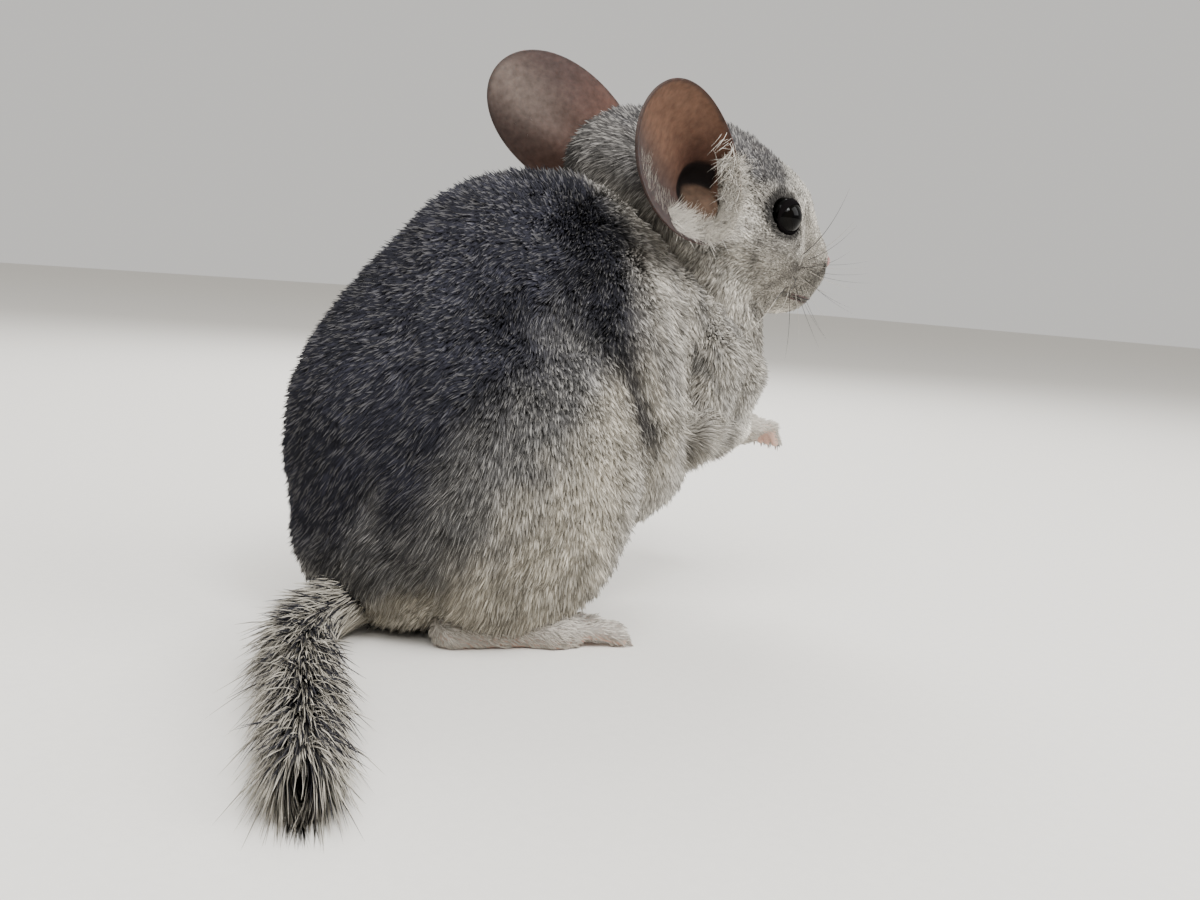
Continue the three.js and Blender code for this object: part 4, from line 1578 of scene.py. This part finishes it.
@dataclass(frozen=True)
class Paw:
    """A paw: a fleshy pad with digits, each of a few joints, and a curved claw at each tip."""

    name: str
    side: int

    FUZZ = linear("#bdb6ab")
    TUFTS_EACH = 2
    CLAW_LOWEST = 0.1

    def digits(self) -> list[tuple[Array, Array, Array, float]]:
        """Gives the root, knuckle, tip and radius of each digit."""
        raise NotImplementedError

    def base(self) -> Form:
        """Makes the form that the digits grow from."""
        raise NotImplementedError

    def form(self) -> Blend:
        """Joins the base and the digits.

        Returns:
            The joined forms.
        """
        limbs = []
        for root, knuckle, tip, radius in self.digits():
            bones = (Limb(root, radius, knuckle, radius), Limb(knuckle, radius, tip, radius * 0.85))
            limbs.append(Blend(0.8, bones))
        return Blend(1.6, (self.base(), *limbs))

    def distance(self, points: Array) -> Array:
        """Gives the distance of each point from the paw, which stands on the floor."""
        return np.maximum(self.form().distance(points), 0.05 - points[:, 2])

    def box(self) -> tuple[Array, Array]:
        """Gives the box of the solid paw, a little grown."""
        low, high = solid_box(self.name)
        return low - 5, high + 5

    def claw(self, tip: Array, direction: Array, length: float, radius: float) -> MeshData:
        """Makes one claw, which curves down to its point.

        Args:
            tip: The place on the digit where the claw starts.
            direction: The way it points at first.
            length: Its length.
            radius: Its radius at the start.

        Returns:
            The mesh of the claw.
        """
        direction = unit(direction)
        rings, sides = 6, 8
        across = unit(np.cross(UP, direction))
        upward = np.cross(direction, across)
        corners = []
        for ring in range(rings):
            share = ring / rings
            middle = tip + direction * length * share - upward * length * 0.35 * share**2
            for n in range(sides):
                turn = n / sides * 2 * math.pi
                rim = across * math.cos(turn) * 0.7 + upward * math.sin(turn)
                corners.append(middle + rim * radius * (1 - share) ** 0.6)
        corners.append(tip + direction * length - upward * length * 0.35)
        corners.append(tip)
        around = np.arange(sides)
        after = (around + 1) % sides
        last = (rings - 1) * sides
        triangles = [
            np.stack([last + around, last + after, np.full(sides, rings * sides)], axis=-1),
            np.stack([after, around, np.full(sides, rings * sides + 1)], axis=-1),
        ]
        colours = np.tile(Palette.CLAW, (len(corners), 1))
        places = np.array(corners)
        places[:, 2] = np.maximum(places[:, 2], self.CLAW_LOWEST)
        return MeshData(places, [belts(rings - 1, sides), np.concatenate(triangles)], colours)

    def fuzz(self, corners: Array, normals: Array, cover: Array) -> Tufts:
        """Grows the short pale fur on the top of the paw.

        Args:
            corners: Corners of the paw's skin.
            normals: The outward directions there.
            cover: The share of each corner that is furred.

        Returns:
            The tufts.
        """
        rng = np.random.default_rng(60 + self.side)
        picked = np.tile(np.arange(len(corners)), self.TUFTS_EACH)
        picked = picked[rng.random(len(picked)) < cover[picked]]
        roots = corners[picked] + rng.normal(0, 0.25, (len(picked), 3))
        up = normals[picked]
        guide = at(1, 0, -0.4) + rng.normal(0, 0.25, (len(picked), 3))
        lie = unit(guide - dot(guide, up)[:, None] * up)
        count = len(picked)
        shade = self.FUZZ * rng.uniform(0.6, 1.15, count)[:, None]
        return Tufts(
            roots, up, lie, rng.uniform(1.8, 3.2, count), rng.uniform(0.35, 0.55, count),
            np.radians(rng.uniform(10, 28, count)), shade * 0.7, shade, shade * 1.05,
            octahedral(unit(roots - np.mean(corners, axis=0))),
        )


def belts(count: int, spokes: int) -> Array:
    """Links rings of corners one after another with four-sided faces.

    Args:
        count: The number of belts of faces, one less than the rings.
        spokes: The number of corners in each ring.

    Returns:
        The four corners of each face.
    """
    around = np.arange(spokes)
    after = (around + 1) % spokes
    faces = []
    for ring in range(count):
        a, b = ring * spokes, (ring + 1) * spokes
        faces.append(np.stack([a + around, a + after, b + after, b + around], axis=-1))
    return np.concatenate(faces)


def joined(parts: list[MeshData]) -> MeshData:
    """Joins meshes of one material into one, with their colours.

    Args:
        parts: The meshes, with colours.

    Returns:
        One mesh.
    """
    faces, shift = [], 0
    for part in parts:
        faces += [block + shift for block in part.faces]
        shift += len(part.corners)
    corners = np.concatenate([part.corners for part in parts])
    return MeshData(corners, faces, np.concatenate([part.colours for part in parts]))


@dataclass(frozen=True)
class HindFoot(Paw):
    """A long hind foot, flat on the floor from the heel to its three toes."""

    FUR_SHADE = linear("#8f8880")
    HEEL_FORWARD = -24
    BALL_FORWARD = 16

    def out_at(self, forward: float) -> float:
        """Gives how far out the middle of the foot is."""
        share = (forward - self.HEEL_FORWARD) / (self.BALL_FORWARD - self.HEEL_FORWARD)
        return self.side * (29 + 8 * share)

    def base(self) -> Form:
        """Makes the sole, from the heel to the ball of the foot.

        Returns:
            The form of the sole.
        """
        heel = at(self.HEEL_FORWARD + 6, self.out_at(self.HEEL_FORWARD), 5)
        ball = at(self.BALL_FORWARD - 8, self.out_at(self.BALL_FORWARD), 4.5)
        pad = at(self.BALL_FORWARD - 4, self.out_at(self.BALL_FORWARD - 4), 3)
        return Blend(5, (Limb(heel, 6, ball, 5), Mass(pad, np.array([8, 9, 5.5]), np.eye(3))))

    def digits(self) -> list[tuple[Array, Array, Array, float]]:
        """Gives the three toes.

        Returns:
            The root, knuckle, tip and radius of each toe.
        """
        found = []
        for spread, length, radius in ((-0.3, 15, 2.6), (-0.02, 18, 2.8), (0.26, 15.5, 2.6)):
            way = unit(at(math.cos(spread), self.side * math.sin(spread + 0.15), 0))
            root = at(self.BALL_FORWARD - 2, self.out_at(self.BALL_FORWARD) + self.side * spread * 14, 3.4)
            knuckle = root + way * length * 0.55 + UP
            found.append((root, knuckle, root + way * length - UP, radius * 0.92))
        return found

    def dress(self) -> None:
        """Makes the foot, its claws and its short fur."""
        corners, quads = net_surface(self.distance, *self.box(), 0.8)
        normals = unit(gradient(self.distance, corners))
        under = smooth(0.1, -0.5, normals[:, 2])
        colours = tint(self.FUR_SHADE, Palette.PAW * 0.8, under)
        skin = make_piece(self.name + "_skin", MeshData(corners, [quads], colours), PAW_SKIN.make())
        hand_over(skin, Slot.PAW, self.name)
        claws = [self.claw(tip, tip - knuckle, 4.6, 1.1) for _, knuckle, tip, _ in self.digits()]
        hand_over(make_piece(self.name + "_claws", joined(claws), CLAW_HORN.make()), Slot.PAW)
        cover = smooth(-0.8, -0.3, normals[:, 2]) * (corners[:, 2] > 0.8)
        cover *= 1 - 0.7 * smooth(12, 19, -corners[:, 1])
        fur = self.fuzz(corners, normals, cover)
        hand_over(make_piece(self.name + "_fur", fur.mesh(), FUR.make()), Slot.COAT)


@dataclass(frozen=True)
class Hand(Paw):
    """A small hand held up before the chest, its four fingers curled down."""

    fingers: int = 4
    length: float = 19

    def palm(self) -> Array:
        """Gives the middle of the palm."""
        return at(99, self.side * 11.5, 60)

    def base(self) -> Form:
        """Makes the palm and the wrist.

        Returns:
            The form of the palm and wrist.
        """
        wrist = at(92, self.side * 13, 60)
        pad = Mass(self.palm(), np.array([5.2, 6, 4]), np.eye(3))
        return Blend(3, (Limb(wrist, 4.4, self.palm(), 4), pad))

    def digits(self) -> list[tuple[Array, Array, Array, float]]:
        """Gives the four fingers.

        Returns:
            The root, knuckle, tip and radius of each finger.
        """
        found = []
        for i in range(self.fingers):
            spread = (i - (self.fingers - 1) / 2) / (self.fingers - 1)
            root = self.palm() + at(4, spread * 7, 0)
            knuckle = root + at(self.length * 0.22, spread * 2.5, 0.4)
            tip = knuckle + at(self.length * 0.12, spread * 1.5 - self.side * 0.5, -self.length * 0.26)
            found.append((root, knuckle, tip, 1.55))
        return found

    def dress(self) -> None:
        """Makes the hand, its claws and its short fur."""
        corners, quads = net_surface(self.distance, *self.box(), 0.5)
        normals = unit(gradient(self.distance, corners))
        colours = np.tile(Palette.PAW, (len(corners), 1))
        skin = make_piece(self.name + "_skin", MeshData(corners, [quads], colours), PAW_SKIN.make())
        hand_over(skin, Slot.PAW, self.name)
        claws = [self.claw(tip, at(0.5, 0, -0.9), 2.6, 0.7) for *_, tip, _ in self.digits()]
        hand_over(make_piece(self.name + "_claws", joined(claws), CLAW_HORN.make()), Slot.PAW)
        behind = smooth(104, 98, -corners[:, 1])
        cover = smooth(-0.5, 0.3, normals[:, 2]) * 0.5 + behind * 0.5
        fur = self.fuzz(corners, normals, cover)
        hand_over(make_piece(self.name + "_fur", fur.mesh(), FUR.make()), Slot.COAT)


@dataclass(frozen=True)
class Tail:
    """The tail, laid on the floor: a thin core under a brush of long coarse hairs."""

    length: float = 122
    root_radius: float = 12.5
    end_radius: float = 3
    strands: int = 13500
    core_share: float = 0.62

    START = at(-30, 0, 0)
    NODES = ("tail_root", "tail_middle", "tail_end")
    CUTS = (0.0, 0.36, 0.66, 1.0)

    def radius(self, share: Array) -> Array:
        """Gives the radius of the solid core at a share of the tail's length."""
        return self.root_radius + (self.end_radius - self.root_radius) * share**0.55

    def path(self, steps: int = 240) -> tuple[Array, Array]:
        """Gives points along the middle of the tail, and the way it runs there.

        Args:
            steps: The number of steps between the points.

        Returns:
            The points, and directions of length one.
        """
        share = np.linspace(0, 1, steps + 1)
        heading = np.radians(mix(30.0, 68.0, smooth(0, 0.5, share)))
        way = np.stack([-np.sin(heading), np.cos(heading), np.zeros(steps + 1)], axis=-1)
        travelled = np.concatenate([np.zeros((1, 3)), np.cumsum(way[:-1], axis=0)])
        place = self.START + travelled * self.length / steps
        place[:, 2] = self.radius(share) - 0.6
        return place, unit(np.gradient(place, axis=0))

    def place(self, share: Array, turn: Array, radius: Array) -> tuple[Array, Array, Array]:
        """Places points round the tail.

        Args:
            share: The share of the tail's length.
            turn: The turn round the tail from straight up, in radians.
            radius: The distance from its middle line.

        Returns:
            The points, the way the tail runs and the outward directions.
        """
        middles, ways = self.path()
        number = share * (len(middles) - 1)
        whole = np.arange(len(middles))
        middle = np.stack([np.interp(number, whole, middles[:, i]) for i in range(3)], axis=-1)
        way = unit(np.stack([np.interp(number, whole, ways[:, i]) for i in range(3)], axis=-1))
        sideways = unit(np.cross(np.broadcast_to(UP, way.shape), way))
        upwards = np.cross(way, sideways)
        outward = upwards * np.cos(turn)[:, None] + sideways * np.sin(turn)[:, None]
        return middle + outward * radius[:, None], way, outward

    def build_core(self) -> MeshData:
        """Makes the fleshy core of the tail, closed at both ends.

        Returns:
            The mesh of the core.
        """
        rings, spokes = 60, 32
        corners = []
        turns = np.arange(spokes) / spokes * 2 * math.pi
        for share in np.linspace(0, 1, rings + 1):
            closing = 0.02 if share in (0.0, 1.0) else 1.0
            radius = float(self.radius(np.array(share))) * self.core_share * closing
            points, _, _ = self.place(np.full(spokes, share), turns, np.full(spokes, radius))
            corners.append(points)
        around = np.arange(spokes)
        caps = [around[None, ::-1], (rings * spokes + around)[None, :]]
        # Painted shade: the core is the pale hair colour darkened to 0.4, as deep inside the brush.
        colours = np.tile(Palette.TAIL_PALE * 0.4, ((rings + 1) * spokes, 1))
        return MeshData(np.concatenate(corners), [belts(rings, spokes), *caps], colours)

    def grow(self) -> tuple[Strands, Array]:
        """Grows the hairs of the brush.

        Returns:
            The hairs, and the share of the tail's length where each is rooted.
        """
        rng = np.random.default_rng(70)
        share = rng.random(self.strands) ** 0.85 * 0.98
        turn = rng.uniform(-math.pi, math.pi, self.strands)
        radius = self.radius(share) * self.core_share
        roots, way, outward = self.place(share, turn, radius)
        rise = np.radians(mix(13.0, 20.0, np.cos(turn) ** 2) + rng.normal(0, 4, self.strands))
        sunk = smooth(0.3, -0.6, np.cos(turn))
        rise = rise * (1 - 0.75 * sunk)
        direction = unit(way * np.cos(rise)[:, None] + outward * np.sin(rise)[:, None]
                         + rng.normal(0, 0.04, (self.strands, 3)))
        lengths = mix(13.0, 38.0, smooth(0, 0.5, share)) * rng.uniform(0.55, 1.1, self.strands)
        lengths = np.minimum(lengths, 10 + (1.28 - share) * self.length)
        top = smooth(-0.1, 0.85, np.cos(turn - 0.35) + rng.normal(0, 0.25, self.strands))
        dark = rng.random(self.strands) < mix(0.08, 0.52, top) * mix(0.5, 1.0, smooth(0.05, 0.4, share))
        pale = Palette.TAIL_PALE * rng.uniform(0.6, 1.1, self.strands)[:, None]
        black = Palette.TAIL_DARK * rng.uniform(0.6, 1.8, self.strands)[:, None]
        tips = np.where(dark[:, None], black, pale)
        root_colours = mix(tips, Palette.UNDERCOAT, 0.2)
        strands = Strands(
            roots, direction, outward, lengths, rng.uniform(0.35, 0.7, self.strands),
            rng.uniform(0.02, 0.13, self.strands), root_colours, tips,
            np.stack([share * 0.96 + 0.02, turn / (2 * math.pi) * 0.96 + 0.5], axis=-1),
        )
        return strands, share

    def dress(self) -> None:
        """Makes the core, and the brush in the same three lengths as the solids."""
        core = make_piece("tail_core", self.build_core(), SKIN.make())
        hand_over(core, Slot.TAIL, *self.NODES)
        strands, share = self.grow()
        material = FUR.make()
        for number, node in enumerate(self.NODES):
            picked = (share >= self.CUTS[number]) & (share < self.CUTS[number + 1])
            part = strands.chosen(picked).mesh()
            hand_over(make_piece("brush_" + node, part, material), Slot.TAIL, node)


class BristleTree:
    """A Geometry Nodes tree that grows a tapered, bent hair from each point of a mesh."""

    SIZES = {"Thickness": "Float", "Bend": "Float", "Steps": "Int", "Material": "Material"}

    def __init__(self, name: str) -> None:
        """Builds the tree with its named inputs.

        Args:
            name: The name of the tree.
        """
        self.tree = bpy.data.node_groups.new(name, "GeometryNodeTree")
        sides = self.tree.interface
        sides.new_socket("Points", in_out="INPUT", socket_type="NodeSocketGeometry")
        self.inputs = {}
        for label, kind in self.SIZES.items():
            socket = sides.new_socket(label, in_out="INPUT", socket_type="NodeSocket" + kind)
            self.inputs[label] = socket.identifier
        sides.new_socket("Hairs", in_out="OUTPUT", socket_type="NodeSocketGeometry")
        self.fill()

    def fill(self) -> None:
        """Adds the nodes: one hair, an instance of it on each point, and a plain mesh at the end."""
        tree = self.tree
        given = add_node(tree, "NodeGroupInput").outputs
        middle = add_node(tree, "ShaderNodeCombineXYZ", {"Z": 0.5})
        end = add_node(tree, "ShaderNodeCombineXYZ", {"Z": 1.0}, X=given["Bend"])
        bow = add_node(
            tree, "GeometryNodeCurveQuadraticBezier", {"Start": (0, 0, 0)},
            Resolution=given["Steps"], Middle=middle.outputs[0], End=end.outputs[0],
        )
        share = add_node(tree, "GeometryNodeSplineParameter").outputs["Factor"]
        taper = add_node(tree, "ShaderNodeMapRange", {"To Min": 1.0, "To Max": 0.08}, Value=share)
        scale = add_node(
            tree, "ShaderNodeMath", {"operation": "MULTIPLY"}, _0=taper.outputs[0], _1=given["Thickness"]
        )
        profile = add_node(tree, "GeometryNodeCurvePrimitiveCircle", {"Resolution": 5, "Radius": 1.0})
        hair = add_node(
            tree, "GeometryNodeCurveToMesh", {"Fill Caps": True},
            Curve=bow.outputs[0], Profile_Curve=profile.outputs[0], Scale=scale.outputs[0],
        )
        lean = add_node(
            tree, "GeometryNodeInputNamedAttribute", {"data_type": "FLOAT_VECTOR", "Name": "lean"}
        )
        reach = add_node(tree, "GeometryNodeInputNamedAttribute", {"data_type": "FLOAT", "Name": "reach"})
        aim = add_node(
            tree, "FunctionNodeAlignRotationToVector", {"axis": "Z"}, Vector=lean.outputs["Attribute"]
        )
        spots = add_node(
            tree, "GeometryNodeInstanceOnPoints",
            Points=given["Points"], Instance=hair.outputs[0], Rotation=aim.outputs[0],
            Scale=reach.outputs["Attribute"],
        )
        real = add_node(tree, "GeometryNodeRealizeInstances", Geometry=spots.outputs[0])
        finished = add_node(
            tree, "GeometryNodeSetMaterial", Geometry=real.outputs[0], Material=given["Material"]
        )
        add_node(tree, "NodeGroupOutput", _0=finished.outputs[0])

    def grow(
        self, name: str, roots: Array, leans: Array, reaches: Array, colour: Array, settings: dict
    ) -> bpy.types.Object:
        """Grows hairs from points, and turns them to a plain mesh.

        Args:
            name: The name of the piece.
            roots: Where each hair grows, in millimetres.
            leans: The direction of each hair.
            reaches: The length of each hair, in millimetres.
            colour: The linear colour of the hairs.
            settings: Values of the tree's inputs, under their names.

        Returns:
            The piece.
        """
        points = bpy.data.meshes.new(name + "_points")
        points.from_pydata((roots * MM).tolist(), [], [])
        points.attributes.new("lean", "FLOAT_VECTOR", "POINT").data.foreach_set("vector", leans.ravel())
        points.attributes.new("reach", "FLOAT", "POINT").data.foreach_set("value", reaches * MM)
        carrier = bpy.data.objects.new(name + "_points", points)
        bpy.context.scene.collection.objects.link(carrier)
        modifier = carrier.modifiers.new("Hairs", "NODES")
        modifier.node_group = self.tree
        for label, value in settings.items():
            modifier[self.inputs[label]] = value
        evaluated = carrier.evaluated_get(bpy.context.evaluated_depsgraph_get())
        mesh = bpy.data.meshes.new_from_object(evaluated)
        bpy.data.objects.remove(carrier)
        mesh.name = name
        layer = mesh.color_attributes.new(name="markings", type="FLOAT_COLOR", domain="POINT")
        layer.data.foreach_set("color", np.tile(np.append(colour, 1), len(mesh.vertices)))
        piece = bpy.data.objects.new(name, mesh)
        bpy.context.scene.collection.objects.link(piece)
        LOG.info("%s: %d faces", name, len(mesh.polygons))
        return piece


@dataclass(frozen=True)
class Whiskers:
    """The whiskers of both sides, in rows on the pad of the muzzle."""

    rows: int = 5
    per_row: int = 5
    longest: float = 52
    thickness: float = 0.0033

    def roots(self, side: int, rng: np.random.Generator) -> tuple[Array, Array, Array]:
        """Spreads the whiskers of one side over its pad.

        Args:
            side: 1 for the left and -1 for the right.
            rng: Draws the small differences between whiskers.

        Returns:
            The roots, the directions and the lengths.
        """
        outline = ANATOMY.outline()
        found, leans, reaches = [], [], []
        for row, place in itertools.product(range(self.rows), range(self.per_row)):
            start = HEAD.point(32 - place * 2.0, side * 3, -6.5 - row * 2.1)
            way = unit(HEAD.direction(0.55 - 0.16 * place, side, 0.05 - 0.1 * row))
            steps = start + np.arange(0, 20, 0.1)[:, None] * way
            found.append(steps[max(np.argmax(outline.distance(steps) > -0.5), 1)])
            lean = HEAD.direction(0.42 - 0.24 * place, side * 0.85, 0.3 - 0.26 * row)
            leans.append(unit(lean + rng.normal(0, 0.1, 3)))
            reaches.append(self.longest * (0.42 + 0.145 * place) * rng.uniform(0.75, 1.05))
        return np.array(found), np.array(leans), np.array(reaches)

    def dress(self) -> None:
        """Makes the whiskers, two dark for each pale one."""
        rng = np.random.default_rng(90)
        tree = BristleTree("Whisker_tree")
        material = WHISKER_HAIR.make()
        for name, side in SIDES.items():
            roots, leans, reaches = self.roots(side, rng)
            pale = np.arange(len(roots)) % 3 == 0
            settings = {"Thickness": self.thickness, "Bend": -0.16 * side, "Steps": 14, "Material": material}
            for label, picked, colour in (
                ("dark", ~pale, Palette.EYE_RIM),
                ("pale", pale, Palette.SHOULDER),
            ):
                piece = tree.grow(
                    f"whiskers_{label}_{name}",
                    roots[picked], leans[picked], reaches[picked], colour, settings,
                )
                hand_over(piece, Slot.COAT)


@dataclass(frozen=True)
class Studio:
    """A plain pale floor, soft light and the camera at the photograph's angle."""

    CAMERA = np.array([-345.01, 193.30, 105.15])
    RIGHT = (-0.56434, -0.82230, 0.07316)
    UPWARD = (0.14611, -0.01226, 0.98919)
    LOOK = (0.81251, -0.56893, -0.12706)
    LENS = 39
    SENSOR = 36
    FLOOR_HALF = 6000

    def build(self) -> None:
        """Makes the floor, the lights and the camera."""
        self.add_floor()
        self.add_light("Key_light", (-900, 600, 1500), (1400, 1400), 38)
        self.add_light("Side_light", (-900, -900, 800), (900, 900), 14)
        self.add_light("Small_light", (-900, 60, 1000), (320, 320), 10)
        self.add_light("Rim_light", (800, -500, 900), (700, 700), 16)
        world = bpy.data.worlds.new("Pale_room")
        world.use_nodes = True
        world.node_tree.nodes["Background"].inputs["Color"].default_value = (*linear("#eceae6"), 1)
        world.node_tree.nodes["Background"].inputs["Strength"].default_value = 0.85
        bpy.context.scene.world = world
        self.add_camera()

    def add_floor(self) -> None:
        """Makes the floor, large enough to fill the view behind the animal."""
        half = self.FLOOR_HALF
        corners = np.array([[-half, -half, 0], [half, -half, 0], [half, half, 0], [-half, half, 0]], float)
        colours = np.tile(linear("#dedbd5"), (4, 1))
        # Matt paint: no shine, with a hardly visible grain.
        paint = Finish(
            "Matt_floor_paint", roughness=0.9, ior=1.45, specular=0.2, grain_mm=3, grain_strength=0.015
        )
        floor = make_piece("floor", MeshData(corners, [np.array([[0, 1, 2, 3]])], colours), paint.make())

    def add_light(self, name: str, place: tuple, size: tuple, watts: float) -> None:
        """Adds a soft light that shines on the animal's middle.

        Args:
            name: The light's name.
            place: Where it hangs, in millimetres.
            size: Its width and height, in millimetres.
            watts: Its power.
        """
        data = bpy.data.lights.new(name, "AREA")
        data.shape = "RECTANGLE"
        data.size, data.size_y = (side * MM for side in size)
        data.energy = watts
        light = bpy.data.objects.new(name, data)
        bpy.context.scene.collection.objects.link(light)
        light.location = Vector(place) * MM
        aim = Vector((0, -0.03, 0.08)) - light.location
        light.rotation_euler = aim.to_track_quat("-Z", "Y").to_euler()

    def add_camera(self) -> None:
        """Adds the camera where the photograph was taken from."""
        data = bpy.data.cameras.new("Camera")
        data.lens, data.sensor_width = self.LENS, self.SENSOR
        data.clip_start = 0.01
        camera = bpy.data.objects.new("Camera", data)
        bpy.context.scene.collection.objects.link(camera)
        columns = Matrix((self.RIGHT, self.UPWARD, [-x for x in self.LOOK])).transposed()
        camera.matrix_world = Matrix.Translation(Vector(self.CAMERA * MM)) @ columns.to_4x4()
        bpy.context.scene.camera = camera


def main() -> None:
    """Builds the animal piece by piece, and the studio round it."""
    logging.basicConfig(level=logging.INFO, format="%(name)s %(message)s")
    Studio().build()
    skin = Skin()
    data = skin.build()
    skin.dress(data)
    Coat().dress(data)
    for ear in EARS:
        ear.dress()
    for name, side in SIDES.items():
        Eye(name).dress()
        HindFoot("hind_foot_" + name, side).dress()
        Hand("hand_" + name, side).dress()
    Nose().dress()
    Lips().dress()
    Tail().dress()
    Whiskers().dress()


if __name__ == "__main__":
    main()
